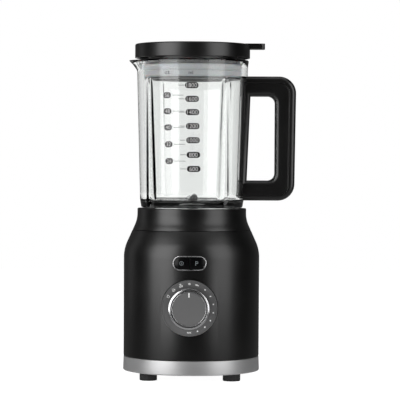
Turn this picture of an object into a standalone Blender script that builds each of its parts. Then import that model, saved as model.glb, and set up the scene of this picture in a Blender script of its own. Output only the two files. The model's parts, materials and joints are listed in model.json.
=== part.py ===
"""A countertop blender: motor base, fluted glass jar with a handle, blade set and lid.

Metres, +Z up, front towards -Y, handle towards +X, spout towards -X. Shapes are laid out round the motor's
axis. One empty, blender_frame, then shifts them all so that the world origin is the middle of the underside.
"""

import math

import bmesh
import bpy

# Clearance kept between pieces that touch.
GAP = 0.0003
# Clearance round a shaft that turns in its bearing.
RUNNING_GAP = 0.00015

# Sides on large, middling and small turned pieces.
WIDE_STEPS = 36
MID_STEPS = 24
SMALL_STEPS = 16

# Motor base, outside.
FOOT_HEIGHT = 0.0095
FOOT_RADIUS = 0.0108
FOOT_X = 0.0512
FOOT_Y = 0.0480
RING_BOTTOM_RADIUS = 0.0852
RING_TOP_RADIUS = 0.0846
RING_LOW = 0.0091
RING_HIGH = 0.0267
BODY_RADIUS = 0.0847
BODY_LOW = 0.0270
NECK_RADIUS = 0.0680
NECK_START = 0.2050
SHOULDER_SLOPE = math.radians(24.3)
SHOULDER_ARC = 0.0480
NECK_ARC = 0.0370
SEAM_HEIGHT = 0.1837
COLLAR_HIGH = 0.2111
WALL = 0.0029

# Screw bosses inside the housing, on a circle round the axis.
BOSS_DISTANCE = 0.0700
BOSS_RADIUS = 0.0048
BOSS_LOW = 0.0150
BOSS_HIGH = 0.0450

# Controls on the front.
DIAL_HEIGHT = 0.0914
DIAL_RADIUS = 0.0341
DIAL_GAP = 0.0007
DIAL_FRONT = 0.0865
KNOB_RADIUS = 0.0250
KNOB_FRONT = 0.1045
PILL_HEIGHT = 0.1458
PILL_LENGTH = 0.0414
PILL_WIDTH = 0.0177
BEZEL_BAND = 0.0013
BEZEL_PROUD = 0.0008
BOARD_FRONT = 0.0616
BOARD_THICK = 0.0016

# Cup in the collar, which takes the foot of the jar.
CUP_FLOOR = 0.1845
CUP_TOP_RADIUS = 0.0585
CUP_FLOOR_RADIUS = 0.0565
CUP_HOLE_RADIUS = 0.0185

# Jar glass.
GLASS_LOW = 0.2120
GLASS_HEEL_RADIUS = 0.0648
GLASS_TOP_RADIUS = 0.0692
GLASS_TAPER_LOW = 0.2220
GLASS_TAPER_HIGH = 0.3840
RIM_HEIGHT = 0.3955
RIM_RADIUS = 0.0704
GLASS_WALL = 0.0066
JAR_NECK_LOW = 0.1962
JAR_NECK_RADIUS = 0.0460
JAR_BORE_RADIUS = 0.0400
RIB_CENTRES = (39, 129, 219, 309)
RIB_FOOT_ANGLE = 9.0
RIB_TOP_ANGLE = 4.5
RIB_DEPTH = 0.0024
RIB_ARCH_LOW = 0.3600
RIB_ARCH_HEIGHT = 0.0120
SPOUT_ANGLE = 180
SPOUT_HALF_ANGLE = 24.0
SPOUT_REACH = 0.0094
SPOUT_LOW = 0.3820

# Handle.
HANDLE_TOP = 0.3756
HANDLE_BOTTOM = 0.2211
HANDLE_REACH_TOP = 0.1294
HANDLE_REACH_BOTTOM = 0.1280
HANDLE_CORNER = 0.0210
HANDLE_HALF_WIDTH = 0.0155
GRIP_INNER = 0.1030
OPENING_TOP = 0.3509
OPENING_BOTTOM = 0.2460
STRAP_TOP_X = 0.0727
STRAP_BOTTOM_X = 0.0685
OPENING_CORNER = 0.0090
COVER_SIDE = 0.0080
COVER_BOTTOM = 0.0062
LUG_HEIGHTS = (0.3605, 0.2355)
LUG_RADIUS = 0.0055
LUG_PROUD = 0.0024

# Lid.
LID_RADIUS = 0.0718
LID_LOW = 0.3982
LID_HIGH = 0.4156
LID_TOP_PLATE = 0.0036
PLUG_RADIUS = 0.0556
PLUG_LOW = 0.3710
PLUG_FLANGE_RADIUS = 0.0600
PLUG_FLANGE_HIGH = 0.3735
PLUG_WALL = 0.0030
TAB_REACH = 0.0904
TAB_HALF_WIDTH = 0.0120
TAB_LOW = 0.4098
TAB_HIGH = 0.4165
FILLER_RADIUS = 0.0300
SEAL_RADIUS = 0.0617

# Motor.
SHAFT_RADIUS = 0.0040
ARMATURE_RADIUS = 0.0256
BORE_RADIUS = 0.0263
CORE_LOW = 0.0720
CORE_HIGH = 0.1140
CORE_RADIUS = 0.0420
BOLT_OFFSET = 0.0460
BOLT_RADIUS = 0.0018

# Blades.
BLADE_HUB_LOW = 0.2146
BLADE_THICK = 0.0018
BLADE_TURN = math.radians(8.0)

# Inlet for the mains cord, at the back.
GLAND_HEIGHT = 0.0600
GLAND_BACK = 0.0910

# Middle of the whole outline, seen from above, measured from the motor's axis.
MIDDLE_X = (HANDLE_REACH_TOP - RING_BOTTOM_RADIUS) / 2
MIDDLE_Y = (GLAND_BACK - KNOB_FRONT) / 2


# ---------------------------------------------------------------- scene and finishes


def clear_scene():
    for obj in list(bpy.data.objects):
        bpy.data.objects.remove(obj, do_unlink=True)


def new_collection(name):
    collection = bpy.data.collections.new(name)
    bpy.context.scene.collection.children.link(collection)
    return collection


def finish(name, color, roughness, metallic=0.0, alpha=1.0):
    material = bpy.data.materials.new(name)
    material.use_nodes = True
    shader = material.node_tree.nodes["Principled BSDF"]
    shader.inputs["Base Color"].default_value = (*color, 1.0)
    shader.inputs["Roughness"].default_value = roughness
    shader.inputs["Metallic"].default_value = metallic
    shader.inputs["Alpha"].default_value = alpha
    material.diffuse_color = (*color, alpha)
    return material


def empty(name, location, parent=None, turn=0.0):
    """A frame for the pieces below it, turned about X."""
    obj = bpy.data.objects.new(name, None)
    obj.empty_display_size = 0.02
    obj.location = location
    obj.rotation_euler = (turn, 0.0, 0.0)
    obj.parent = parent
    PARTS.objects.link(obj)
    return obj


def part(name, mesh, material, parent):
    mesh.name = name
    mesh.materials.clear()
    mesh.materials.append(material)
    obj = bpy.data.objects.new(name, mesh)
    obj.parent = parent
    PARTS.objects.link(obj)
    return obj


def cutter(name, mesh, parent):
    obj = bpy.data.objects.new(name, mesh)
    obj.parent = parent
    obj.hide_render = True
    obj.display_type = "WIRE"
    CUTTERS.objects.link(obj)
    return obj


def boolean(target, tool, operation="DIFFERENCE"):
    modifier = target.modifiers.new(tool.name, "BOOLEAN")
    modifier.operation = operation
    modifier.solver = "EXACT"
    modifier.object = tool


# ---------------------------------------------------------------- shapes


def arc(centre_x, centre_y, radius, start, end, steps):
    """Points on an arc from one angle to another, in degrees, both ends included."""
    angles = [math.radians(start + (end - start) * i / steps) for i in range(steps + 1)]
    return [(centre_x + radius * math.cos(a), centre_y + radius * math.sin(a)) for a in angles]


def rounded_rectangle(left, right, low, high, radius, steps=4):
    """An anticlockwise outline from its lower left corner."""
    return (
        arc(left + radius, low + radius, radius, 180, 270, steps)
        + arc(right - radius, low + radius, radius, 270, 360, steps)
        + arc(right - radius, high - radius, radius, 0, 90, steps)
        + arc(left + radius, high - radius, radius, 90, 180, steps)
    )


def spin(obj, steps):
    """Turns a profile at +X, which runs down its outer side, once round Z."""
    screw = obj.modifiers.new("turned", "SCREW")
    screw.steps = steps
    screw.render_steps = steps
    screw.use_merge_vertices = True
    screw.merge_threshold = 0.00001
    screw.use_smooth_shade = True


def profile_mesh(name, profile, closed):
    mesh = bpy.data.meshes.new(name)
    edges = [(i, i + 1) for i in range(len(profile) - 1)]
    if closed:
        edges.append((len(profile) - 1, 0))
    mesh.from_pydata([(radius, 0.0, height) for radius, height in profile], edges, [])
    return mesh


def turned(name, profile, material, parent, steps=MID_STEPS, closed=True):
    """A ring when the profile is closed, or a full solid when it starts and ends on the axis."""
    obj = part(name, profile_mesh(name, profile, closed), material, parent)
    spin(obj, steps)
    return obj


def turned_cutter(name, profile, parent, steps=MID_STEPS, closed=False):
    obj = cutter(name, profile_mesh(name, profile, closed), parent)
    spin(obj, steps)
    return obj


def drum_mesh(name, radius, low, high, sides, x=0.0, y=0.0, along="Z"):
    """A capped cylinder whose axis is Z, X or Y. low and high are places on that axis, x and y across it."""
    mesh = bpy.data.meshes.new(name)
    shape = bmesh.new()
    bmesh.ops.create_cone(
        shape,
        cap_ends=True,
        segments=sides,
        radius1=radius,
        radius2=radius,
        depth=high - low,
    )
    middle = (low + high) / 2
    for vertex in shape.verts:
        across, up, run = vertex.co
        if along == "Z":
            vertex.co = (across + x, up + y, run + middle)
        elif along == "X":
            vertex.co = (run + middle, across + x, up + y)
        else:
            vertex.co = (up + x, run + middle, across + y)
    shape.to_mesh(mesh)
    shape.free()
    return mesh


def box_mesh(name, low, high, bevel=0.0, segments=2):
    """A box between two corners, with rounded edges where bevel is given."""
    mesh = bpy.data.meshes.new(name)
    shape = bmesh.new()
    bmesh.ops.create_cube(shape, size=1.0)
    for vertex in shape.verts:
        for axis in range(3):
            vertex.co[axis] = low[axis] + (vertex.co[axis] + 0.5) * (high[axis] - low[axis])
    if bevel:
        bmesh.ops.bevel(
            shape,
            geom=shape.edges[:],
            offset=bevel,
            segments=segments,
            profile=0.5,
            affect="EDGES",
        )
    shape.to_mesh(mesh)
    shape.free()
    return mesh


def prism_mesh(name, outlines, low, high):
    """A flat outline, with any holes given as further outlines, filled between two heights."""
    curve = bpy.data.curves.new(name, "CURVE")
    curve.dimensions = "2D"
    curve.fill_mode = "BOTH"
    curve.extrude = (high - low) / 2
    for outline in outlines:
        spline = curve.splines.new("POLY")
        spline.points.add(len(outline) - 1)
        for point, (x, y) in zip(spline.points, outline):
            point.co = (x, y, 0.0, 1.0)
        spline.use_cyclic_u = True
    holder = bpy.data.objects.new(name, curve)
    bpy.context.scene.collection.objects.link(holder)
    graph = bpy.context.evaluated_depsgraph_get()
    mesh = bpy.data.meshes.new_from_object(holder.evaluated_get(graph))
    bpy.data.objects.remove(holder)
    bpy.data.curves.remove(curve)
    shape = bmesh.new()
    shape.from_mesh(mesh)
    bmesh.ops.remove_doubles(shape, verts=shape.verts, dist=0.000001)
    bmesh.ops.translate(shape, vec=(0.0, 0.0, (low + high) / 2), verts=shape.verts)
    bmesh.ops.recalc_face_normals(shape, faces=shape.faces)
    shape.to_mesh(mesh)
    shape.free()
    return mesh


def band_mesh(name, outer, inner, half_depth, closed, outer_bevel, inner_bevel):
    """A flat band between two outlines of as many points, with its long edges rounded."""
    mesh = bpy.data.meshes.new(name)
    shape = bmesh.new()
    rows = [
        [shape.verts.new((x, y, side * half_depth)) for x, y in outline]
        for side, outline in ((1, outer), (-1, outer), (-1, inner), (1, inner))
    ]
    count = len(outer)
    spans = [(i, (i + 1) % count) for i in range(count if closed else count - 1)]
    for row, following in zip(rows, rows[1:] + rows[:1]):
        for here, there in spans:
            shape.faces.new((row[here], row[there], following[there], following[here]))
    if not closed:
        shape.faces.new([row[0] for row in rows])
        shape.faces.new([row[-1] for row in reversed(rows)])
    bmesh.ops.recalc_face_normals(shape, faces=shape.faces)
    for pair, bevel, segments in ((rows[0:2], outer_bevel, 3), (rows[2:4], inner_bevel, 2)):
        edges = [shape.edges.get((row[a], row[b])) for row in pair for a, b in spans]
        bmesh.ops.bevel(
            shape,
            geom=edges,
            offset=bevel,
            segments=segments,
            profile=0.5,
            affect="EDGES",
            clamp_overlap=True,
        )
    shape.to_mesh(mesh)
    shape.free()
    return mesh


def screw_profile(head_radius, head_height, length):
    """A pan-head screw with its head at the bottom, from the axis out and back, for turned()."""
    shank = BOLT_RADIUS
    return [
        (0.0, head_height + length),
        (shank, head_height + length),
        (shank, head_height),
        (head_radius, head_height),
        (head_radius, head_height * 0.35),
        (head_radius * 0.72, 0.0),
        (0.0, 0.0),
    ]


# ---------------------------------------------------------------- motor base, outside


def shoulder():
    """The outline of the shoulder: where the two arcs meet the straight slope between them."""
    sine, cosine = math.sin(SHOULDER_SLOPE), math.cos(SHOULDER_SLOPE)
    upper = (NECK_RADIUS + NECK_ARC * (1 - cosine), NECK_START - NECK_ARC * sine)
    lower_radius = BODY_RADIUS - SHOULDER_ARC * (1 - cosine)
    lower_height = upper[1] - (lower_radius - upper[0]) / math.tan(SHOULDER_SLOPE)
    return upper, (lower_radius, lower_height), lower_height - SHOULDER_ARC * sine


def slope_radius(height):
    """The radius of the straight slope at a height."""
    upper, _, _ = shoulder()
    return upper[0] + (upper[1] - height) * math.tan(SHOULDER_SLOPE)


def neck_curve():
    """The hollow arc under the collar, from its top to the straight slope."""
    slope = math.degrees(SHOULDER_SLOPE)
    return arc(NECK_RADIUS + NECK_ARC, NECK_START, NECK_ARC, 180, 180 + slope, 4)


def shoulder_curve(inset):
    """The rounded shoulder from the straight slope down to the upright wall, moved in by inset."""
    _, _, start = shoulder()
    slope = math.degrees(SHOULDER_SLOPE)
    return arc(BODY_RADIUS - SHOULDER_ARC, start, SHOULDER_ARC - inset, slope, 0, 4)


def make_base_ring(root):
    inside = RING_TOP_RADIUS - 0.0016
    lip_low, lip_high = 0.0190, 0.0210
    profile = [
        (RING_TOP_RADIUS - 0.0004, RING_HIGH),
        (RING_TOP_RADIUS, RING_HIGH - 0.0005),
        (RING_BOTTOM_RADIUS, RING_LOW + 0.0008),
        (RING_BOTTOM_RADIUS - 0.0006, RING_LOW),
        (inside, RING_LOW),
        (inside, lip_low),
        (0.0790, lip_low),
        (0.0790, lip_high),
        (inside, lip_high),
        (inside, RING_HIGH),
    ]
    turned("base_ring", profile, FINISHES["brushed_ring"], root, WIDE_STEPS)


def make_housing(root):
    skirt = RING_TOP_RADIUS - 0.0020
    inner = BODY_RADIUS - WALL
    profile = (
        [(slope_radius(SEAM_HEIGHT), SEAM_HEIGHT)]
        + shoulder_curve(0.0)
        + [
            (BODY_RADIUS, BODY_LOW + 0.0018),
            (BODY_RADIUS - 0.0014, BODY_LOW),
            (skirt, BODY_LOW),
            (skirt, 0.0213),
            (skirt - 0.0026, 0.0213),
            (skirt - 0.0026, 0.0300),
            (inner, 0.0330),
        ]
        + shoulder_curve(WALL)[::-1]
        + [(slope_radius(SEAM_HEIGHT) - WALL * 1.15, SEAM_HEIGHT)]
    )
    housing = turned("housing", profile, FINISHES["satin_black"], root, WIDE_STEPS)
    add_screw_bosses(housing, root)
    dial_hole = drum_mesh(
        "dial_hole", DIAL_RADIUS + DIAL_GAP, -0.110, -0.060, MID_STEPS, x=0.0, y=DIAL_HEIGHT, along="Y"
    )
    boolean(housing, cutter("dial_hole", dial_hole, root))
    outline = pill(PILL_LENGTH / 2 + GAP, PILL_WIDTH / 2 + GAP)
    pill_hole = cutter("pill_hole", prism_mesh("pill_hole", [outline], 0.060, 0.110), FRONT)
    boolean(housing, pill_hole)
    gland_hole = drum_mesh(
        "gland_hole", 0.0065 + GAP, 0.060, 0.100, SMALL_STEPS, x=0.0, y=GLAND_HEIGHT, along="Y"
    )
    boolean(housing, cutter("gland_hole", gland_hole, root))


def boss_places():
    """The four screw places, to the right, back, left and front."""
    return [
        (BOSS_DISTANCE * math.cos(math.radians(a)), BOSS_DISTANCE * math.sin(math.radians(a)), a)
        for a in (0, 90, 180, 270)
    ]


def add_screw_bosses(housing, root):
    for number, (x, y, angle) in enumerate(boss_places(), 1):
        name = f"boss_{number}"
        boss = cutter(name, drum_mesh(name, BOSS_RADIUS, BOSS_LOW, BOSS_HIGH, 12, x, y), root)
        boolean(housing, boss, "UNION")
        web_mesh = box_mesh(f"web_{number}", (0.0700, -0.0020, 0.0345), (0.0830, 0.0020, 0.0445))
        web = cutter(f"web_{number}", web_mesh, root)
        web.rotation_euler = (0.0, 0.0, math.radians(angle))
        boolean(housing, web, "UNION")
        bore_name = f"boss_bore_{number}"
        bore_mesh = drum_mesh(bore_name, BOLT_RADIUS + GAP, BOSS_LOW - 0.002, 0.0400, 10, x, y)
        boolean(housing, cutter(bore_name, bore_mesh, root))


def make_collar(root):
    seam = SEAM_HEIGHT + GAP
    under = CUP_FLOOR - 0.0035
    profile = (
        [(NECK_RADIUS - 0.0010, COLLAR_HIGH), (NECK_RADIUS, COLLAR_HIGH - 0.0010)]
        + neck_curve()
        + [
            (slope_radius(seam), seam),
            (0.0700, seam),
            (0.0700, 0.1795),
            (0.0670, 0.1795),
            (0.0670, under),
            (CUP_HOLE_RADIUS, under),
            (CUP_HOLE_RADIUS, CUP_FLOOR),
            (CUP_FLOOR_RADIUS, CUP_FLOOR),
            (CUP_TOP_RADIUS, COLLAR_HIGH),
        ]
    )
    collar = turned("collar", profile, FINISHES["satin_black"], root, WIDE_STEPS)
    for number, x in enumerate((BOLT_OFFSET, -BOLT_OFFSET), 1):
        post_name, bore_name = f"motor_post_{number}", f"motor_post_bore_{number}"
        post = drum_mesh(post_name, 0.0050, 0.1500, under + 0.001, 12, x)
        boolean(collar, cutter(post_name, post, root), "UNION")
        bore = drum_mesh(bore_name, BOLT_RADIUS + GAP, 0.1480, 0.1770, 10, x)
        boolean(collar, cutter(bore_name, bore, root))


def make_base_plate(root):
    low, top = FOOT_HEIGHT, 0.0145
    edge = RING_TOP_RADIUS - 0.0020
    rim_low = 0.0795
    # The profile meets the axis in one upright edge, so it is left open there.
    profile = [
        (0.0, top),
        (rim_low, top),
        (rim_low, 0.0187),
        (edge, 0.0187),
        (edge, low),
        (0.0, low),
    ]
    plate = turned("base_plate", profile, FINISHES["matte_black"], root, WIDE_STEPS, closed=False)
    for number, (x, y) in enumerate(foot_places(), 1):
        name = f"foot_pocket_{number}"
        pocket = drum_mesh(name, FOOT_RADIUS + GAP, low - 0.002, low + 0.0020 + GAP, SMALL_STEPS, x, y)
        boolean(plate, cutter(name, pocket, root))
    for number, (x, y, _) in enumerate(boss_places(), 1):
        wide, narrow = f"screw_recess_{number}", f"screw_hole_{number}"
        recess = drum_mesh(wide, 0.0042, low - 0.002, low + 0.0030, 14, x, y)
        boolean(plate, cutter(wide, recess, root))
        hole = drum_mesh(narrow, BOLT_RADIUS + GAP, low, top + 0.002, 10, x, y)
        boolean(plate, cutter(narrow, hole, root))
    for number in range(7):
        x = (number - 3) * 0.0085
        name = f"vent_{number + 1}"
        slot = box_mesh(name, (x - 0.0017, -0.0260, low - 0.002), (x + 0.0017, 0.0260, top + 0.002))
        boolean(plate, cutter(name, slot, root))


def foot_places():
    return [(sx * FOOT_X, sy * FOOT_Y) for sx, sy in ((1, -1), (-1, -1), (-1, 1), (1, 1))]


def make_feet(root):
    profile = [
        (0.0, FOOT_HEIGHT + 0.0020),
        (FOOT_RADIUS, FOOT_HEIGHT + 0.0020),
        (FOOT_RADIUS, FOOT_HEIGHT),
        (FOOT_RADIUS - 0.0004, 0.0008),
        (FOOT_RADIUS - 0.0012, 0.0),
        (0.0, 0.0),
    ]
    for number, (x, y) in enumerate(foot_places(), 1):
        foot = turned(f"foot_{number}", profile, FINISHES["rubber"], root, SMALL_STEPS, closed=False)
        foot.location = (x, y, 0.0)


def make_base_screws(root):
    profile = screw_profile(0.0036, 0.0022, 0.0240)
    for number, (x, y, _) in enumerate(boss_places(), 1):
        screw = turned(f"base_screw_{number}", profile, FINISHES["zinc"], root, 10, closed=False)
        screw.location = (x, y, FOOT_HEIGHT + 0.0005)


def make_gland(root):
    """The grommet round the cord's way out, without the cord."""
    profile = [
        (0.0032, GLAND_BACK),
        (0.0052, GLAND_BACK),
        (0.0062, GLAND_BACK - 0.0035),
        (0.0085, GLAND_BACK - 0.0038),
        (0.0085, BODY_RADIUS + GAP),
        (0.0065, BODY_RADIUS + GAP),
        (0.0065, BODY_RADIUS - WALL - 0.0010),
        (0.0080, BODY_RADIUS - WALL - 0.0010),
        (0.0080, BODY_RADIUS - WALL - 0.0030),
        (0.0032, BODY_RADIUS - WALL - 0.0030),
    ]
    back = empty("back_frame", (0.0, 0.0, GLAND_HEIGHT), root, -math.pi / 2)
    turned("cord_gland", profile, FINISHES["rubber"], back, SMALL_STEPS)


# ---------------------------------------------------------------- controls


def pill(half_length, half_width, steps=8):
    """A bar with round ends, centred on the buttons, in the front frame."""
    middle = PILL_HEIGHT - DIAL_HEIGHT
    run = half_length - half_width
    return arc(run, middle, half_width, -90, 90, steps) + arc(-run, middle, half_width, 90, 270, steps)


def half_pill(side):
    """One button's outline: the half of the pill on that side of the slot between the buttons."""
    half_length = PILL_LENGTH / 2 - BEZEL_BAND - GAP
    half_width = PILL_WIDTH / 2 - BEZEL_BAND - GAP
    middle = PILL_HEIGHT - DIAL_HEIGHT
    slot = 0.0003
    outline = [(slot, middle - half_width)]
    outline += arc(half_length - half_width, middle, half_width, -90, 90, 8)
    outline += [(slot, middle + half_width)]
    return outline if side > 0 else [(-x, y) for x, y in reversed(outline)]


def curved_face(name, inner_radius, outer_radius, root):
    """A tube that gives a control the curve of the housing."""
    profile = [
        (outer_radius, PILL_HEIGHT + 0.020),
        (outer_radius, PILL_HEIGHT - 0.020),
        (inner_radius, PILL_HEIGHT - 0.020),
        (inner_radius, PILL_HEIGHT + 0.020),
    ]
    return turned_cutter(name, profile, root, WIDE_STEPS * 2, closed=True)


def make_bezel(root):
    outer = pill(PILL_LENGTH / 2, PILL_WIDTH / 2)
    inner = pill(PILL_LENGTH / 2 - BEZEL_BAND, PILL_WIDTH / 2 - BEZEL_BAND)
    mesh = prism_mesh("button_bezel", [outer, inner], 0.070, 0.095)
    bezel = part("button_bezel", mesh, FINISHES["chrome"], FRONT)
    face = curved_face("bezel_curve", BODY_RADIUS - WALL - 0.001, BODY_RADIUS + BEZEL_PROUD, root)
    boolean(bezel, face, "INTERSECT")


def make_buttons(root):
    face = curved_face("button_curve", BODY_RADIUS - 0.0040, BODY_RADIUS + 0.0002, root)
    travel = 0.0015
    stem_end = BOARD_FRONT + 0.0024 + travel
    for side, name in ((-1, "power_button"), (1, "pulse_button")):
        mesh = prism_mesh(name, [half_pill(side)], 0.070, 0.095)
        frame = empty(f"{name}_frame", (0.0, 0.0, 0.0), FRONT)
        button = part(name, mesh, FINISHES["gloss_black"], frame)
        boolean(button, face, "INTERSECT")
        x, y = side * 0.0098, PILL_HEIGHT - DIAL_HEIGHT
        stem = cutter(f"{name}_stem", drum_mesh(f"{name}_stem", 0.0022, stem_end, 0.0822, 12, x, y), FRONT)
        boolean(button, stem, "UNION")


def make_dial(root):
    """A shallow round cup: the plate with the marks, its rim and two posts for the board."""
    back = 0.0720
    profile = [
        (0.0042, DIAL_FRONT),
        (DIAL_RADIUS - 0.0006, DIAL_FRONT),
        (DIAL_RADIUS, DIAL_FRONT - 0.0006),
        (DIAL_RADIUS, back),
        (DIAL_RADIUS - 0.0024, back),
        (DIAL_RADIUS - 0.0024, DIAL_FRONT - 0.0030),
        (0.0042, DIAL_FRONT - 0.0030),
    ]
    plate = turned("dial_plate", profile, FINISHES["dial_grey"], FRONT, MID_STEPS)
    for number, x in enumerate((-0.0230, 0.0230), 1):
        post = drum_mesh(f"board_post_{number}", 0.0030, BOARD_FRONT + GAP, DIAL_FRONT - 0.0028, 12, x, 0.0)
        boolean(plate, cutter(f"board_post_{number}", post, FRONT), "UNION")


def make_knob():
    frame = empty("knob_frame", (0.0, 0.0, 0.0), FRONT)
    face = KNOB_FRONT - 0.0008
    back = DIAL_FRONT + 0.0006
    seat = 0.0219
    body = [
        (0.0, face),
        (seat - 0.0010, face),
        (seat - GAP, face - 0.0006),
        (seat - GAP, face - 0.0100),
        (KNOB_RADIUS - 0.0014, face - 0.0100),
        (KNOB_RADIUS - 0.0006, back),
        (KNOB_RADIUS - 0.0030, back),
        (KNOB_RADIUS - 0.0036, face - 0.0125),
        (0.0070, face - 0.0125),
        (0.0070, back),
        (0.0034, back),
        (0.0034, face - 0.0060),
        (0.0, face - 0.0060),
    ]
    turned("knob", body, FINISHES["dial_grey"], frame, MID_STEPS, closed=False)
    ring = [
        (seat + 0.0004, KNOB_FRONT - 0.0006),
        (seat + 0.0012, KNOB_FRONT),
        (KNOB_RADIUS - 0.0009, KNOB_FRONT - 0.0004),
        (KNOB_RADIUS, KNOB_FRONT - 0.0022),
        (KNOB_RADIUS, face - 0.0097),
        (seat + 0.0004, face - 0.0097),
    ]
    turned("knob_ring", ring, FINISHES["chrome"], frame, MID_STEPS)
    spindle = drum_mesh("knob_spindle", 0.0030, BOARD_FRONT + 0.0072, face - 0.0064, 16)
    part("knob_spindle", spindle, FINISHES["steel"], frame)


def make_board():
    middle = PILL_HEIGHT - DIAL_HEIGHT
    low = BOARD_FRONT - BOARD_THICK
    outline = rounded_rectangle(-0.0310, 0.0310, -0.0240, middle + 0.0110, 0.0030, 2)
    board = prism_mesh("control_board", [outline], low, BOARD_FRONT)
    part("control_board", board, FINISHES["board_green"], FRONT)
    encoder = box_mesh(
        "speed_encoder",
        (-0.0070, -0.0070, BOARD_FRONT + GAP),
        (0.0070, 0.0070, BOARD_FRONT + 0.0065),
        0.0006,
        1,
    )
    part("speed_encoder", encoder, FINISHES["steel"], FRONT)
    for side, name in ((-1, "power_switch"), (1, "pulse_switch")):
        x = side * 0.0098
        switch = box_mesh(
            name,
            (x - 0.0030, middle - 0.0030, BOARD_FRONT + GAP),
            (x + 0.0030, middle + 0.0030, BOARD_FRONT + 0.0021),
            0.0004,
            1,
        )
        part(name, switch, FINISHES["steel"], FRONT)


# ---------------------------------------------------------------- motor


def make_stator(root):
    core = turned(
        "stator_core",
        [
            (CORE_RADIUS, CORE_HIGH),
            (CORE_RADIUS, CORE_LOW),
            (CORE_RADIUS - 0.0040, CORE_LOW),
            (CORE_RADIUS - 0.0040, CORE_HIGH),
        ],
        FINISHES["steel"],
        root,
        MID_STEPS,
    )
    for side in (-1, 1):
        number = 1 if side > 0 else 2
        near, far = BORE_RADIUS - 0.004, CORE_RADIUS - 0.002
        low_y, high_y = sorted((side * near, side * far))
        pole = box_mesh(f"pole_{number}", (-0.009, low_y, CORE_LOW), (0.009, high_y, CORE_HIGH))
        boolean(core, cutter(f"pole_{number}", pole, root), "UNION")
        low_x, high_x = sorted((side * (CORE_RADIUS - 0.002), side * (BOLT_OFFSET + 0.0045)))
        ear = box_mesh(f"core_ear_{number}", (low_x, -0.006, CORE_LOW), (high_x, 0.006, CORE_HIGH))
        boolean(core, cutter(f"core_ear_{number}", ear, root), "UNION")
        hole_name = f"core_hole_{number}"
        low, high = CORE_LOW - 0.002, CORE_HIGH + 0.002
        hole = drum_mesh(hole_name, BOLT_RADIUS + GAP, low, high, 10, side * BOLT_OFFSET)
        boolean(core, cutter(hole_name, hole, root))
    bore = drum_mesh("core_bore", BORE_RADIUS, CORE_LOW - 0.002, CORE_HIGH + 0.002, MID_STEPS)
    boolean(core, cutter("core_bore", bore, root))


def make_coils(root):
    """A flat racetrack of copper wire round each pole."""
    outer = rounded_rectangle(-0.0175, 0.0175, CORE_LOW - 0.0060, CORE_HIGH + 0.0060, 0.0060, 3)
    inner = rounded_rectangle(-0.0094, 0.0094, CORE_LOW - GAP, CORE_HIGH + GAP, 0.0004, 3)
    for number, side in enumerate((-1, 1), 1):
        low, high = sorted((side * 0.0280, side * 0.0318))
        frame = empty(f"coil_frame_{number}", (0.0, 0.0, 0.0), root, math.pi / 2)
        mesh = prism_mesh(f"field_coil_{number}", [outer, inner], low, high)
        part(f"field_coil_{number}", mesh, FINISHES["copper"], frame)


def make_bracket(name, root, plate_low, plate_high, leg_end, bearing_low, bearing_high):
    """A bridge across the motor: a bar with a bearing seat, and a leg at each end."""
    bar = box_mesh(name, (-0.0505, -0.0100, plate_low), (0.0505, 0.0100, plate_high))
    bracket = part(name, bar, FINISHES["zinc"], root)
    low, high = sorted((plate_low + 0.001, leg_end))
    for number, side in enumerate((1, -1), 1):
        low_x, high_x = sorted((side * 0.0412, side * 0.0500))
        leg_name, hole_name = f"{name}_leg_{number}", f"{name}_hole_{number}"
        leg = box_mesh(leg_name, (low_x, -0.0065, low), (high_x, 0.0065, high))
        boolean(bracket, cutter(leg_name, leg, root), "UNION")
        span = (min(plate_low, leg_end) - 0.002, max(plate_high, leg_end) + 0.002)
        hole = drum_mesh(hole_name, BOLT_RADIUS + GAP, *span, 10, side * BOLT_OFFSET)
        boolean(bracket, cutter(hole_name, hole, root))
    seat_name, bore_name = f"{name}_seat", f"{name}_bore"
    seat = drum_mesh(seat_name, 0.0140, bearing_low, bearing_high, SMALL_STEPS)
    boolean(bracket, cutter(seat_name, seat, root), "UNION")
    bore = drum_mesh(bore_name, 0.0110 + GAP, bearing_low - 0.002, bearing_high + 0.002, SMALL_STEPS)
    boolean(bracket, cutter(bore_name, bore, root))


def make_bearings(root):
    for name, low in (("lower_bearing", 0.0380), ("upper_bearing", 0.1390)):
        hole = SHAFT_RADIUS + RUNNING_GAP
        profile = [(0.0110, low + 0.007), (0.0110, low), (hole, low), (hole, low + 0.007)]
        turned(name, profile, FINISHES["steel"], root, SMALL_STEPS)


def make_brushes(root):
    """Carbon blocks that press on the commutator from both sides, each in its brass holder."""
    middle = 0.0580
    for number, side in enumerate((1, -1), 1):
        name = f"brush_holder_{number}"
        low_x, high_x = sorted((side * 0.0150, side * 0.0360))
        holder_mesh = box_mesh(name, (low_x, -0.0055, middle - 0.0055), (high_x, 0.0055, middle + 0.0055))
        holder = part(name, holder_mesh, FINISHES["brass"], root)
        low_x, high_x = sorted((side * 0.0240, side * 0.0340))
        foot = box_mesh(f"holder_foot_{number}", (low_x, -0.0040, 0.0443), (high_x, 0.0040, middle - 0.0050))
        boolean(holder, cutter(f"holder_foot_{number}", foot, root), "UNION")
        low_x, high_x = sorted((side * 0.0100, side * 0.0400))
        low, high = (low_x, -0.0035, middle - 0.0035), (high_x, 0.0035, middle + 0.0035)
        channel = box_mesh(f"channel_{number}", low, high)
        boolean(holder, cutter(f"channel_{number}", channel, root))
        name = f"carbon_brush_{number}"
        low_x, high_x = sorted((side * 0.0124, side * 0.0300))
        brush = box_mesh(name, (low_x, -0.0032, middle - 0.0032), (high_x, 0.0032, middle + 0.0032))
        part(name, brush, FINISHES["carbon"], root)


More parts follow.
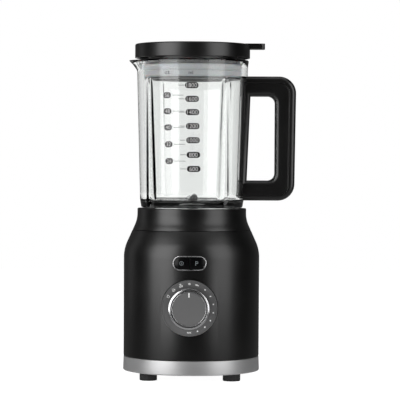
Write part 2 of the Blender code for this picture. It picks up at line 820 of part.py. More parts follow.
def make_motor_bolts(root):
    """Two long bolts, from under the lower bracket up into the collar's posts."""
    head_low = 0.0372
    profile = screw_profile(0.0036, 0.0025, 0.1740 - head_low)
    for number, x in enumerate((BOLT_OFFSET, -BOLT_OFFSET), 1):
        bolt = turned(f"motor_bolt_{number}", profile, FINISHES["zinc"], root, 10, closed=False)
        bolt.location = (x, 0.0, head_low)


def make_rotor(root):
    rotor = empty("rotor_axis", (0.0, 0.0, 0.0), root)
    shaft = drum_mesh("motor_shaft", SHAFT_RADIUS, 0.0360, 0.1860, SMALL_STEPS)
    part("motor_shaft", shaft, FINISHES["steel"], rotor)
    core = []
    slots = 12
    for number in range(slots):
        middle = 360 * number / slots
        core += arc(0.0, 0.0, ARMATURE_RADIUS, middle - 12, middle + 12, 2)
        core += arc(0.0, 0.0, ARMATURE_RADIUS - 0.0060, middle + 13.5, middle + 16.5, 1)
    hole = arc(0.0, 0.0, SHAFT_RADIUS + GAP, 0, 360 - 360 / SMALL_STEPS, SMALL_STEPS - 1)
    armature = prism_mesh("armature", [core, hole], CORE_LOW + 0.002, CORE_HIGH - 0.002)
    part("armature", armature, FINISHES["steel"], rotor)
    inner = SHAFT_RADIUS + GAP
    commutator = [(0.0120, 0.0650), (0.0120, 0.0510), (inner, 0.0510), (inner, 0.0650)]
    turned("commutator", commutator, FINISHES["copper"], rotor, SMALL_STEPS)
    make_fan(rotor)
    lobes = lobed_outline(0.0100)
    star = prism_mesh("drive_coupler", [lobes], 0.1765, 0.1915)
    coupler = part("drive_coupler", star, FINISHES["coupler"], rotor)
    bore = drum_mesh("coupler_bore", SHAFT_RADIUS + GAP, 0.1745, 0.1865, SMALL_STEPS)
    boolean(coupler, cutter("coupler_bore", bore, rotor))


def make_fan(rotor):
    low, high = 0.1225, 0.1330
    inner = SHAFT_RADIUS + GAP
    profile = [
        (0.0080, high),
        (0.0080, low + 0.0016),
        (0.0340, low + 0.0016),
        (0.0340, low),
        (inner, low),
        (inner, high),
    ]
    fan = turned("cooling_fan", profile, FINISHES["matte_black"], rotor, MID_STEPS)
    blades = 9
    for number in range(blades):
        name = f"fan_blade_{number + 1}"
        vane_mesh = box_mesh(name, (0.0100, -0.0007, low + 0.001), (0.0335, 0.0007, high - 0.001))
        vane = cutter(name, vane_mesh, rotor)
        vane.rotation_euler = (0.0, 0.0, 2 * math.pi * number / blades)
        boolean(fan, vane, "UNION")


def lobed_outline(radius, lobes=6, depth=0.0016, points=36):
    """A round outline with rounded teeth."""
    outline = []
    for number in range(points):
        angle = 2 * math.pi * number / points
        reach = radius + depth * math.cos(lobes * angle)
        outline.append((reach * math.cos(angle), reach * math.sin(angle)))
    return outline


# ---------------------------------------------------------------- jar


def glass_radius(height):
    """The jar's outer radius on its straight taper."""
    share = (height - GLASS_TAPER_LOW) / (GLASS_TAPER_HIGH - GLASS_TAPER_LOW)
    return GLASS_HEEL_RADIUS + (GLASS_TOP_RADIUS - GLASS_HEEL_RADIUS) * share


def rib(angle, height, low):
    """How far a rib pushes the wall in, at an angle in degrees and a height. It fades out below low."""
    climb = min(max((height - RIB_ARCH_LOW) / RIB_ARCH_HEIGHT, 0.0), 1.0)
    arch = math.sqrt(1.0 - climb * climb)
    foot = min(max((height - low + 0.008) / 0.008, 0.0), 1.0)
    nearest = min(abs((angle - centre + 180) % 360 - 180) for centre in RIB_CENTRES)
    share = min(max((height - GLASS_TAPER_LOW) / (RIB_ARCH_LOW - GLASS_TAPER_LOW), 0.0), 1.0)
    width = RIB_FOOT_ANGLE + (RIB_TOP_ANGLE - RIB_FOOT_ANGLE) * share
    half_angle = width * max(arch, 0.3)
    if nearest >= half_angle:
        return 0.0
    depth = RIB_DEPTH * width / RIB_FOOT_ANGLE * arch * foot
    return depth * 0.5 * (1 + math.cos(math.pi * nearest / half_angle))


def spout(angle, height):
    """How far the pouring lip pushes the wall out."""
    away = abs((angle - SPOUT_ANGLE + 180) % 360 - 180)
    if away >= SPOUT_HALF_ANGLE or height <= SPOUT_LOW:
        return 0.0
    climb = (height - SPOUT_LOW) / (RIM_HEIGHT - SPOUT_LOW)
    return SPOUT_REACH * climb**1.3 * 0.5 * (1 + math.cos(math.pi * away / SPOUT_HALF_ANGLE))


def glass_columns():
    """Angles round the jar, in degrees, closer together across the ribs and the spout."""
    angles = set()
    for centre in RIB_CENTRES:
        angles.update(centre + step for step in (-8, -4, 0, 4, 8))
    angles.update(SPOUT_ANGLE + step for step in (-24, -16, -8, 0, 8, 16, 24))
    for angle in range(0, 360, 10):
        if min(abs(angle - other) for other in angles) > 4.5:
            angles.add(angle)
    return sorted(angles)


def glass_rows():
    """Radius, height, depth of the ribs and reach of the spout, row by row round the wall's section."""
    straight = (0.2220, 0.3600, 0.3675, 0.3720, 0.3840)
    outer = [(JAR_NECK_RADIUS, JAR_NECK_LOW), (JAR_NECK_RADIUS, GLASS_LOW), (0.0598, GLASS_LOW)]
    outer += [(0.0632, GLASS_LOW + 0.0015), (0.0646, GLASS_LOW + 0.0052)]
    outer += [(glass_radius(height), height) for height in straight]
    outer += [(0.0696, 0.3900), (RIM_RADIUS, 0.3942), (RIM_RADIUS - 0.0012, RIM_HEIGHT)]
    inner = [(RIM_RADIUS - 0.0042, RIM_HEIGHT), (0.0645, 0.3940), (0.0630, 0.3900)]
    inner += [(glass_radius(height) - GLASS_WALL, height) for height in reversed(straight[1:])]
    inner += [(glass_radius(0.2280) - GLASS_WALL, 0.2280), (0.0568, 0.2222), (0.0525, 0.2188)]
    inner += [(0.0430, 0.2165), (JAR_BORE_RADIUS, 0.2130), (JAR_BORE_RADIUS, JAR_NECK_LOW)]
    return outer, inner


def make_glass(jar):
    outer, inner = glass_rows()
    columns = glass_columns()
    shape = bmesh.new()
    rings = []
    for rows, rib_low, reach in ((outer, 0.2220, 1.0), (inner, 0.2280, 1.12)):
        for radius, height in rows:
            ring = []
            for angle in columns:
                distance = radius - rib(angle, height, rib_low) + reach * spout(angle, height)
                turn = math.radians(angle)
                ring.append(shape.verts.new((distance * math.cos(turn), distance * math.sin(turn), height)))
            rings.append(ring)
    count = len(columns)
    for ring, following in zip(rings, rings[1:] + rings[:1]):
        for here in range(count):
            there = (here + 1) % count
            shape.faces.new((ring[here], ring[there], following[there], following[here]))
    bmesh.ops.recalc_face_normals(shape, faces=shape.faces)
    mesh = bpy.data.meshes.new("jar_glass")
    shape.to_mesh(mesh)
    shape.free()
    glass = part("jar_glass", mesh, FINISHES["glass"], jar)
    for number, height in enumerate(LUG_HEIGHTS, 1):
        name = f"lug_{number}"
        start = glass_radius(height) - GLASS_WALL / 2
        lug = drum_mesh(name, LUG_RADIUS, start, glass_radius(height) + LUG_PROUD, 16, 0.0, height, "X")
        boolean(glass, cutter(name, lug, jar), "UNION")


def make_jar_foot(jar):
    """The ring nut that clamps the blade base up against the neck of the glass, and its gasket."""
    low = CUP_FLOOR + GAP
    floor = low + 0.0035
    nut = [
        (0.0540, 0.2095),
        (0.0552, 0.2080),
        (0.0548, low + 0.0010),
        (0.0540, low),
        (0.0240, low),
        (0.0240, floor),
        (JAR_NECK_RADIUS + 0.0004, floor),
        (JAR_NECK_RADIUS + 0.0004, 0.2095),
    ]
    turned("jar_nut", nut, FINISHES["matte_black"], jar, WIDE_STEPS)
    seal_low = floor + 0.0040 + 2 * GAP
    gasket = [
        (0.0456, JAR_NECK_LOW - GAP),
        (0.0456, seal_low),
        (0.0403, seal_low),
        (0.0403, JAR_NECK_LOW - GAP),
    ]
    turned("jar_gasket", gasket, FINISHES["silicone"], jar, MID_STEPS)
    flange_low, flange_high = floor + GAP, floor + 0.0040 + GAP
    base = [
        (0.0100, 0.2131),
        (0.0180, 0.2112),
        (0.0300, 0.2062),
        (0.0372, 0.2040),
        (0.0396, 0.2010),
        (0.0396, flange_high),
        (0.0457, flange_high),
        (0.0457, flange_low),
        (0.0200, flange_low),
        (0.0200, 0.1985),
        (0.0073, 0.1985),
        (0.0073, 0.2131),
    ]
    turned("blade_base", base, FINISHES["steel"], jar, MID_STEPS)
    hole = SHAFT_RADIUS + RUNNING_GAP
    bush = [(0.0070, 0.2129), (0.0070, 0.1987), (hole, 0.1987), (hole, 0.2129)]
    turned("blade_bush", bush, FINISHES["brass"], jar, SMALL_STEPS)


def handle_outline(inset_top, inset_side, inset_bottom, left, corner, steps=5):
    """The handle's outside, open towards the jar: along the top, down the grip and back along the bottom."""
    top, bottom = HANDLE_TOP - inset_top, HANDLE_BOTTOM + inset_bottom
    right_top, right_bottom = HANDLE_REACH_TOP - inset_side, HANDLE_REACH_BOTTOM - inset_side
    return (
        [(left, top)]
        + arc(right_top - corner, top - corner, corner, 90, 0, steps)
        + arc(right_bottom - corner, bottom + corner, corner, 0, -90, steps)
        + [(left, bottom)]
    )


def make_handle(jar):
    """An inner frame that hugs the glass and an outer cover round it, screwed together."""
    plane = empty("handle_frame_plane", (0.0, 0.0, 0.0), jar, math.pi / 2)
    left = 0.0560
    corner = HANDLE_CORNER - COVER_SIDE
    outside = handle_outline(COVER_SIDE + GAP, COVER_SIDE + GAP, COVER_BOTTOM + GAP, left, corner)
    opening = (
        [(STRAP_TOP_X, OPENING_TOP)]
        + arc(GRIP_INNER - OPENING_CORNER, OPENING_TOP - OPENING_CORNER, OPENING_CORNER, 90, 0, 5)
        + arc(GRIP_INNER - OPENING_CORNER, OPENING_BOTTOM + OPENING_CORNER, OPENING_CORNER, 0, -90, 5)
        + [(STRAP_BOTTOM_X, OPENING_BOTTOM)]
    )
    frame_mesh = band_mesh("handle_frame", outside, opening, HANDLE_HALF_WIDTH - 0.0004, True, 0.0008, 0.0060)
    frame = part("handle_frame", frame_mesh, FINISHES["satin_black"], plane)
    outer = handle_outline(0.0, 0.0, 0.0, left, HANDLE_CORNER)
    inner = handle_outline(COVER_SIDE, COVER_SIDE, COVER_BOTTOM, left, corner)
    cover_mesh = band_mesh("handle_cover", outer, inner, HANDLE_HALF_WIDTH, False, 0.0055, 0.0006)
    cover = part("handle_cover", cover_mesh, FINISHES["satin_black"], plane)
    low, high = 0.2150, 0.3800
    body = [
        (0.0, high),
        (glass_radius(high) + GAP, high),
        (glass_radius(low) + GAP, low),
        (0.0, low),
    ]
    clearance = turned_cutter("jar_clearance", body, jar, WIDE_STEPS * 2)
    boolean(frame, clearance)
    boolean(cover, clearance)
    for number, height in enumerate(LUG_HEIGHTS, 1):
        name = f"lug_pocket_{number}"
        end = glass_radius(height) + LUG_PROUD + GAP
        pocket = drum_mesh(name, LUG_RADIUS + GAP, end - 0.008, end, 16, 0.0, height, "X")
        boolean(frame, cutter(name, pocket, jar))
    make_handle_screws(jar, frame, cover)


def make_handle_screws(jar, frame, cover):
    """Two screws from the finger side of the grip out into the cover."""
    head, length = 0.0022, 0.0170
    profile = screw_profile(0.0032, head, length)
    for number, height in enumerate((0.3250, 0.2700), 1):
        axis = empty(f"handle_screw_frame_{number}", (GRIP_INNER + 0.0010, 0.0, height), jar)
        axis.rotation_euler = (0.0, math.pi / 2, 0.0)
        turned(f"handle_screw_{number}", profile, FINISHES["zinc"], axis, 12, closed=False)
        start, seat = GRIP_INNER - 0.004, GRIP_INNER + 0.0010 + head + GAP
        recess_name, hole_name = f"screw_seat_{number}", f"screw_way_{number}"
        recess = drum_mesh(recess_name, 0.0032 + GAP, start, seat, 14, 0.0, height, "X")
        hole = drum_mesh(hole_name, BOLT_RADIUS + GAP, start, seat + length + GAP, 12, 0.0, height, "X")
        boolean(frame, cutter(recess_name, recess, jar))
        way = cutter(hole_name, hole, jar)
        boolean(frame, way)
        boolean(cover, way)


# ---------------------------------------------------------------- blades


def blade_mesh(name, stations):
    """A bent strip of steel. Each station is a place along it, its half width there and its height."""
    mesh = bpy.data.meshes.new(name)
    shape = bmesh.new()
    rows = []
    for along, half_width, height in stations:
        low, high = BLADE_HUB_LOW + height, BLADE_HUB_LOW + height + BLADE_THICK
        corners = ((-half_width, low), (half_width, low), (half_width, high), (-half_width, high))
        rows.append([shape.verts.new((along, y, z)) for y, z in corners])
    for row, following in zip(rows, rows[1:]):
        for here in range(4):
            there = (here + 1) % 4
            shape.faces.new((row[here], row[there], following[there], following[here]))
    shape.faces.new(rows[0])
    shape.faces.new(list(reversed(rows[-1])))
    bmesh.ops.recalc_face_normals(shape, faces=shape.faces)
    shape.to_mesh(mesh)
    shape.free()
    return mesh


def make_blades(jar):
    blades = empty("blade_axis", (0.0, 0.0, 0.0), jar)
    inner = SHAFT_RADIUS + GAP
    shaft = [
        (0.0, 0.2226),
        (SHAFT_RADIUS, 0.2226),
        (SHAFT_RADIUS, BLADE_HUB_LOW - GAP),
        (0.0065, BLADE_HUB_LOW - GAP),
        (0.0065, 0.2134),
        (SHAFT_RADIUS, 0.2134),
        (SHAFT_RADIUS, 0.1925),
        (0.0, 0.1925),
    ]
    turned("blade_shaft", shaft, FINISHES["steel"], blades, SMALL_STEPS, closed=False)
    lower = [
        (-0.0340, 0.0015, -0.0012),
        (-0.0300, 0.0045, -0.0010),
        (-0.0130, 0.0070, 0.0012),
        (-0.0085, 0.0075, 0.0),
        (0.0085, 0.0075, 0.0),
        (0.0130, 0.0070, 0.0012),
        (0.0300, 0.0045, -0.0010),
        (0.0340, 0.0015, -0.0012),
    ]
    hub_rise = BLADE_THICK + GAP
    upper = [
        (-0.0270, 0.0012, 0.0133),
        (-0.0245, 0.0035, 0.0113),
        (-0.0110, 0.0062, hub_rise + 0.0008),
        (-0.0085, 0.0068, hub_rise),
        (0.0085, 0.0068, hub_rise),
        (0.0110, 0.0062, hub_rise + 0.0008),
        (0.0250, 0.0038, 0.0073),
        (0.0285, 0.0012, 0.0088),
    ]
    for name, stations, turn in (
        ("lower_blade", lower, 0.0),
        ("upper_blade", upper, math.pi / 2 + BLADE_TURN),
    ):
        blade = part(name, blade_mesh(name, stations), FINISHES["steel"], blades)
        blade.rotation_euler = (0.0, 0.0, turn)
        hole = drum_mesh(f"{name}_hole", inner, BLADE_HUB_LOW - 0.003, BLADE_HUB_LOW + 0.008, 16)
        boolean(blade, cutter(f"{name}_hole", hole, blades))
    nut_low = BLADE_HUB_LOW + 2 * hub_rise
    hexagon = arc(0.0, 0.0, 0.0075, 0, 300, 5)
    hole = arc(0.0, 0.0, inner, 0, 342, 19)
    nut = prism_mesh("blade_nut", [hexagon, hole], nut_low, nut_low + 0.0045)
    part("blade_nut", nut, FINISHES["steel"], blades)
    make_jar_coupler(blades)


def make_jar_coupler(blades):
    low, high = 0.1852, 0.1972
    coupler_mesh = drum_mesh("jar_coupler", 0.0170, low, high, MID_STEPS)
    coupler = part("jar_coupler", coupler_mesh, FINISHES["coupler"], blades)
    socket_mesh = prism_mesh("coupler_socket", [lobed_outline(0.0105)], low - 0.002, 0.1922)
    boolean(coupler, cutter("coupler_socket", socket_mesh, blades))
    bore = drum_mesh("coupler_hole", SHAFT_RADIUS + GAP, low, high + 0.002, SMALL_STEPS)
    boolean(coupler, cutter("coupler_hole", bore, blades))


# ---------------------------------------------------------------- lid


def make_lid(lid_frame):
    under = LID_HIGH - LID_TOP_PLATE
    skirt = LID_RADIUS - 0.0024
    collar_low, ledge = 0.3960, 0.4000
    profile = [
        (FILLER_RADIUS, LID_HIGH),
        (LID_RADIUS - 0.0014, LID_HIGH),
        (LID_RADIUS, LID_HIGH - 0.0014),
        (LID_RADIUS, LID_LOW + 0.0004),
        (LID_RADIUS - 0.0004, LID_LOW),
        (skirt, LID_LOW),
        (skirt, under),
        (PLUG_RADIUS, under),
        (PLUG_RADIUS, PLUG_FLANGE_HIGH),
        (PLUG_FLANGE_RADIUS, PLUG_FLANGE_HIGH),
        (PLUG_FLANGE_RADIUS, PLUG_LOW),
        (PLUG_RADIUS - PLUG_WALL, PLUG_LOW),
        (PLUG_RADIUS - PLUG_WALL, under),
        (FILLER_RADIUS + 0.0030, under),
        (FILLER_RADIUS + 0.0030, collar_low),
        (FILLER_RADIUS - 0.0026, collar_low),
        (FILLER_RADIUS - 0.0026, ledge),
        (FILLER_RADIUS, ledge),
    ]
    lid = turned("lid", profile, FINISHES["satin_black"], lid_frame, WIDE_STEPS)
    start = LID_RADIUS - 0.0060
    outline = rounded_rectangle(start, TAB_REACH, -TAB_HALF_WIDTH, TAB_HALF_WIDTH, 0.0045, 4)
    tab = cutter("lid_tab", prism_mesh("lid_tab", [outline], TAB_LOW, TAB_HIGH), lid_frame)
    boolean(lid, tab, "UNION")


def make_lid_seal(lid_frame):
    """A silicone ring round the plug, with two soft ridges."""
    low, high = PLUG_FLANGE_HIGH + GAP, 0.3895
    root_radius = SEAL_RADIUS - 0.0012
    profile = [(root_radius, high)]
    ridges = 2
    pitch = (high - low) / ridges
    for number in range(ridges):
        top = high - number * pitch
        profile += [(SEAL_RADIUS, top - 0.0008), (SEAL_RADIUS, top - pitch + 0.0014)]
        profile += [(root_radius, top - pitch + 0.0008)]
    profile += [(root_radius, low), (PLUG_RADIUS + GAP, low), (PLUG_RADIUS + GAP, high)]
    turned("lid_seal", profile, FINISHES["silicone"], lid_frame, WIDE_STEPS)


def make_filler_cap(lid_frame):
    cap_frame = empty("cap_frame", (0.0, 0.0, 0.0), lid_frame)
    edge = FILLER_RADIUS - GAP
    low = 0.4000 + GAP
    profile = [
        (0.0, LID_HIGH),
        (edge - 0.0008, LID_HIGH),
        (edge, LID_HIGH - 0.0008),
        (edge, low),
        (edge - 0.0026, low),
        (edge - 0.0026, LID_HIGH - 0.0095),
        (0.0, LID_HIGH - 0.0095),
    ]
    cap = turned("filler_cap", profile, FINISHES["satin_black"], cap_frame, MID_STEPS, closed=False)
    bar, reach = 0.0055, 0.0220
    for side in (-1, 1):
        start = math.degrees(math.asin(bar / reach))
        outline = arc(0.0, 0.0, reach, start, 180 - start, 10)
        outline = [(x, side * y) for x, y in outline]
        name = f"finger_recess_{1 if side > 0 else 2}"
        recess = prism_mesh(name, [outline], LID_HIGH - 0.0068, LID_HIGH + 0.002)
        boolean(cap, cutter(name, recess, cap_frame))


# ---------------------------------------------------------------- the whole blender

clear_scene()
PARTS = new_collection("countertop_blender")
CUTTERS = new_collection("cutters")
FINISHES = {
    "satin_black": finish("satin_black", (0.018, 0.018, 0.019), 0.42),
    "matte_black": finish("matte_black", (0.022, 0.022, 0.023), 0.6),
    "gloss_black": finish("gloss_black", (0.008, 0.008, 0.009), 0.12),
    "rubber": finish("rubber", (0.020, 0.020, 0.020), 0.8),
    "dial_grey": finish("dial_grey", (0.110, 0.110, 0.110), 0.45),
    "chrome": finish("chrome", (0.780, 0.780, 0.790), 0.1, 1.0),
    "brushed_ring": finish("brushed_ring", (0.660, 0.660, 0.660), 0.35, 1.0),
    "steel": finish("steel", (0.560, 0.560, 0.570), 0.28, 1.0),
    "zinc": finish("zinc", (0.500, 0.500, 0.500), 0.4, 1.0),
    "brass": finish("brass", (0.700, 0.500, 0.220), 0.35, 1.0),
    "copper": finish("copper", (0.720, 0.330, 0.180), 0.35, 1.0),
    "carbon": finish("carbon", (0.030, 0.030, 0.030), 0.7),
    "coupler": finish("coupler", (0.035, 0.035, 0.036), 0.5),
    "board_green": finish("board_green", (0.020, 0.140, 0.060), 0.5),
    "silicone": finish("silicone", (0.480, 0.490, 0.500), 0.5, 0.0, 0.85),
    "glass": finish("glass", (0.900, 0.930, 0.920), 0.02, 0.0, 0.3),
}
ROOT = empty("blender_frame", (-MIDDLE_X, -MIDDLE_Y, 0.0))
# In this frame local +Z points out of the front, X to the right and Y up, round the dial's centre.
FRONT = empty("front_frame", (0.0, 0.0, DIAL_HEIGHT), ROOT, math.pi / 2)
JAR = empty("jar_frame", (0.0, 0.0, 0.0), ROOT)
LID = empty("lid_frame", (0.0, 0.0, 0.0), JAR)

make_base_ring(ROOT)
make_housing(ROOT)
make_collar(ROOT)
make_base_plate(ROOT)
make_feet(ROOT)
make_base_screws(ROOT)
make_gland(ROOT)
make_bezel(ROOT)
make_buttons(ROOT)
make_dial(ROOT)
make_knob()
make_board()
make_stator(ROOT)
make_coils(ROOT)
make_bracket("lower_bracket", ROOT, 0.0400, 0.0440, CORE_LOW - GAP, 0.0380, 0.0450)
make_bracket("upper_bracket", ROOT, 0.1400, 0.1440, CORE_HIGH + GAP, 0.1390, 0.1460)
make_bearings(ROOT)
make_brushes(ROOT)
make_motor_bolts(ROOT)
make_rotor(ROOT)
make_glass(JAR)
make_jar_foot(JAR)
make_handle(JAR)
make_blades(JAR)
make_lid(LID)
make_lid_seal(LID)
make_filler_cap(LID)
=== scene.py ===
"""Looks for the countertop blender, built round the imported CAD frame.

Metres, +Z up, front towards -Y, handle towards +X. Shapes are laid out round the motor's axis and moved to
AXIS at the end. Heights and radii are read from the frame's boxes where a box gives them.
"""

import json
import math

import bmesh
import bpy
from mathutils import Matrix, Quaternion, Vector

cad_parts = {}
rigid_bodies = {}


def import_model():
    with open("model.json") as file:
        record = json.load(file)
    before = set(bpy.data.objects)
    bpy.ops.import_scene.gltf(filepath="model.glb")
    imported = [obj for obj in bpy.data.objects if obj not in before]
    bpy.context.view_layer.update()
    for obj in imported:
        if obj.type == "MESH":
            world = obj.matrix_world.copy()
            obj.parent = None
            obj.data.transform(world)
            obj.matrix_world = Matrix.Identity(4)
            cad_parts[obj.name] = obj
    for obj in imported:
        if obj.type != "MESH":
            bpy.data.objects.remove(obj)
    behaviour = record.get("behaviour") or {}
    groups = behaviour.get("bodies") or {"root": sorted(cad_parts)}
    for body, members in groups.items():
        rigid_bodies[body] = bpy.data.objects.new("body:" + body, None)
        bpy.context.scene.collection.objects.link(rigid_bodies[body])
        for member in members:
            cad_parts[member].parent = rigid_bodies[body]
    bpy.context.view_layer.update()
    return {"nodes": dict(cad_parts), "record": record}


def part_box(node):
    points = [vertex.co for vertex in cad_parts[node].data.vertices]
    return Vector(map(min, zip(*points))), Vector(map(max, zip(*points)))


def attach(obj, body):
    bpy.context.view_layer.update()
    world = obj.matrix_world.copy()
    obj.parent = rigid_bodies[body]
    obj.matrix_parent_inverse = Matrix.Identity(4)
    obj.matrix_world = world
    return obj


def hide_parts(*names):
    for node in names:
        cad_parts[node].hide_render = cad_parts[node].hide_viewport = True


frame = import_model()

RING_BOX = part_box("base_ring")
SCENE_OBJECTS = bpy.context.scene.collection.objects
AXIS = Vector(((RING_BOX[0].x + RING_BOX[1].x) / 2, (RING_BOX[0].y + RING_BOX[1].y) / 2, 0.0))


def span(node):
    """A node's lowest and highest corners, measured from the motor's axis."""
    low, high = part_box(node)
    return low - AXIS, high - AXIS


# Clearance between pieces that touch.
GAP = 0.0003

# Motor base.
FOOT_HIGH = span("foot_1")[1].z
FOOT_RADIUS = (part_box("foot_1")[1].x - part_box("foot_1")[0].x) / 2
RING_LOW = span("base_ring")[0].z
RING_HIGH = span("base_ring")[1].z
RING_RADIUS = span("base_ring")[1].x
BODY_RADIUS = span("housing")[1].x
BODY_LOW = 0.0270
SEAM = span("housing")[1].z
COLLAR_HIGH = span("collar")[1].z
NECK_RADIUS = 0.0680
NECK_START = 0.2050
SHOULDER_SLOPE = math.radians(24.3)
SHOULDER_ARC = 0.0480
NECK_ARC = 0.0370
WALL = 0.0029
CUP_FLOOR = 0.1845
CUP_TOP_RADIUS = 0.0585
CUP_FLOOR_RADIUS = 0.0565
CUP_HOLE_RADIUS = 0.0185

# Controls.
DIAL_HEIGHT = (span("dial_plate")[0].z + span("dial_plate")[1].z) / 2
DIAL_RADIUS = span("dial_plate")[1].x
DIAL_FRONT = -span("dial_plate")[0].y
DIAL_BACK = 0.0720
DIAL_GAP = 0.0007
KNOB_FRONT = -span("knob_ring")[0].y
KNOB_RADIUS = span("knob_ring")[1].x
PILL_HEIGHT = (span("button_bezel")[0].z + span("button_bezel")[1].z) / 2
PILL_LENGTH = 2 * span("button_bezel")[1].x
PILL_WIDTH = span("button_bezel")[1].z - span("button_bezel")[0].z
BEZEL_BAND = 0.0013
BEZEL_PROUD = 0.0008
GLAND_HEIGHT = (span("cord_gland")[0].z + span("cord_gland")[1].z) / 2
GLAND_BACK = span("cord_gland")[1].y

# Jar.
GLASS_LOW = 0.2120
JAR_NECK_LOW = span("jar_glass")[0].z
JAR_NECK_RADIUS = 0.0460
JAR_BORE_RADIUS = 0.0400
HEEL_RADIUS = 0.0648
TAPER_LOW = 0.2220
TAPER_TOP_RADIUS = 0.0692
TAPER_HIGH = 0.3840
GLASS_WALL = 0.0066
RIM_HEIGHT = span("jar_glass")[1].z
RIM_RADIUS = 0.0704
RIB_CENTRES = (39, 129, 219, 309)
RIB_FOOT_ANGLE = 9.0
RIB_TOP_ANGLE = 4.5
RIB_DEPTH = 0.0024
RIB_ARCH_LOW = 0.3600
RIB_ARCH_HEIGHT = 0.0120
SPOUT_ANGLE = 180
SPOUT_HALF_ANGLE = 24.0
SPOUT_REACH = 0.0094
SPOUT_LOW = 0.3820
LUG_HEIGHTS = (0.3605, 0.2355)
LUG_RADIUS = 0.0055
LUG_PROUD = 0.0024

# Handle.
HANDLE_TOP = span("handle_cover")[1].z
HANDLE_BOTTOM = span("handle_cover")[0].z
REACH_TOP = span("handle_cover")[1].x
REACH_BOTTOM = REACH_TOP - 0.0014
HANDLE_CORNER = 0.0210
HANDLE_HALF_WIDTH = span("handle_cover")[1].y
GRIP_INNER = 0.1030
OPENING_TOP = 0.3509
OPENING_BOTTOM = 0.2460
OPENING_CORNER = 0.0090
STRAP_TOP_X = 0.0727
STRAP_BOTTOM_X = 0.0685
COVER_SIDE = 0.0080
COVER_BOTTOM = 0.0062

# Lid.
LID_RADIUS = 0.0718
LID_LOW = 0.3982
LID_HIGH = span("filler_cap")[1].z
LID_PLATE = 0.0036
PLUG_RADIUS = 0.0556
PLUG_LOW = span("lid")[0].z
PLUG_FLANGE_RADIUS = 0.0600
PLUG_FLANGE_HIGH = 0.3735
PLUG_WALL = 0.0030
TAB_REACH = span("lid")[1].x
TAB_HALF_WIDTH = 0.0120
TAB_LOW = 0.4098
TAB_HIGH = span("lid")[1].z
FILLER_RADIUS = 0.0300
SEAL_RADIUS = span("lid_seal")[1].x

# Blades.
HUB_LOW = 0.2146
BLADE_THICK = 0.0018
BLADE_TURN = math.radians(8.0)
SHAFT_RADIUS = 0.0040

# Brightness of the room that the blender reflects.
BACK_LIGHT = 0.10
BELOW_LIGHT = 0.30

# The camera, measured from the motor's axis.
CAMERA_DISTANCE = 2.562
CAMERA_HEIGHT = 0.2683
CAMERA_TURN = math.radians(1.6)
CAMERA_ROLL = math.radians(0.30)
CAMERA_LENS = 184.2
CAMERA_TARGET = Vector((0.0102, 0.0, 0.2212))

# Turns front-frame coordinates (X right, Y up, Z out of the front, from the dial's centre) to the axis frame.
TO_FRONT = Matrix.Translation((0.0, 0.0, DIAL_HEIGHT)) @ Matrix.Rotation(math.pi / 2, 4, "X")
# Turns a flat outline in X and height to the handle's plane.
TO_SIDE = Matrix.Rotation(math.pi / 2, 4, "X")


# ---- materials


def shader_of(name):
    material = bpy.data.materials.new(name)
    material.use_nodes = True
    return material, material.node_tree.nodes["Principled BSDF"]


def add(material, kind, **values):
    """A node with its properties and inputs set. Inputs are named by their socket, with _ for a space."""
    node = material.node_tree.nodes.new(kind)
    for key, value in values.items():
        if key in node.bl_rna.properties:
            setattr(node, key, value)
        else:
            node.inputs[key.replace("_", " ")].default_value = value
    return node


def join(material, output, socket):
    material.node_tree.links.new(output, socket)


def noise(material, scale, detail=3.0, stretch=(1.0, 1.0, 1.0)):
    """Noise in the object's own metres, so that it stays with the piece as it moves."""
    place = add(material, "ShaderNodeTexCoord")
    mapping = add(material, "ShaderNodeMapping")
    mapping.inputs["Scale"].default_value = stretch
    texture = add(material, "ShaderNodeTexNoise", Scale=scale, Detail=detail)
    join(material, place.outputs["Object"], mapping.inputs["Vector"])
    join(material, mapping.outputs["Vector"], texture.inputs["Vector"])
    return texture.outputs["Fac"]


def spread(material, value, low, high):
    """Maps noise, which mostly lies between 0.3 and 0.7, to a range."""
    ranged = add(material, "ShaderNodeMapRange", From_Min=0.3, From_Max=0.7, To_Min=low, To_Max=high)
    join(material, value, ranged.inputs["Value"])
    return ranged.outputs["Result"]


def tinted(material, shader, value, dark, light):
    """Lets the base colour drift between two tones."""
    ramp = add(material, "ShaderNodeValToRGB")
    ramp.color_ramp.elements[0].position = 0.3
    ramp.color_ramp.elements[0].color = (*dark, 1.0)
    ramp.color_ramp.elements[1].position = 0.7
    ramp.color_ramp.elements[1].color = (*light, 1.0)
    join(material, value, ramp.inputs["Fac"])
    join(material, ramp.outputs["Color"], shader.inputs["Base Color"])


def bumped(material, shader, value, strength, distance):
    bump = add(material, "ShaderNodeBump", Strength=strength, Distance=distance)
    join(material, value, bump.inputs["Height"])
    join(material, bump.outputs["Normal"], shader.inputs["Normal"])


def plastic(name, colour, roughness, grain=2400.0, depth=0.00002, drift=0.12, gloss=0.5):
    """Moulded plastic or rubber: a fine grain, with tone and gloss that drift a little over the surface."""
    material, shader = shader_of(name)
    shader.inputs["Specular IOR Level"].default_value = gloss
    slow = noise(material, 22.0)
    dark = [channel * (1 - drift) for channel in colour]
    light = [channel * (1 + drift) for channel in colour]
    tinted(material, shader, slow, dark, light)
    join(material, spread(material, slow, roughness * 0.93, roughness * 1.07), shader.inputs["Roughness"])
    bumped(material, shader, noise(material, grain, 2.0), 0.35, depth)
    return material


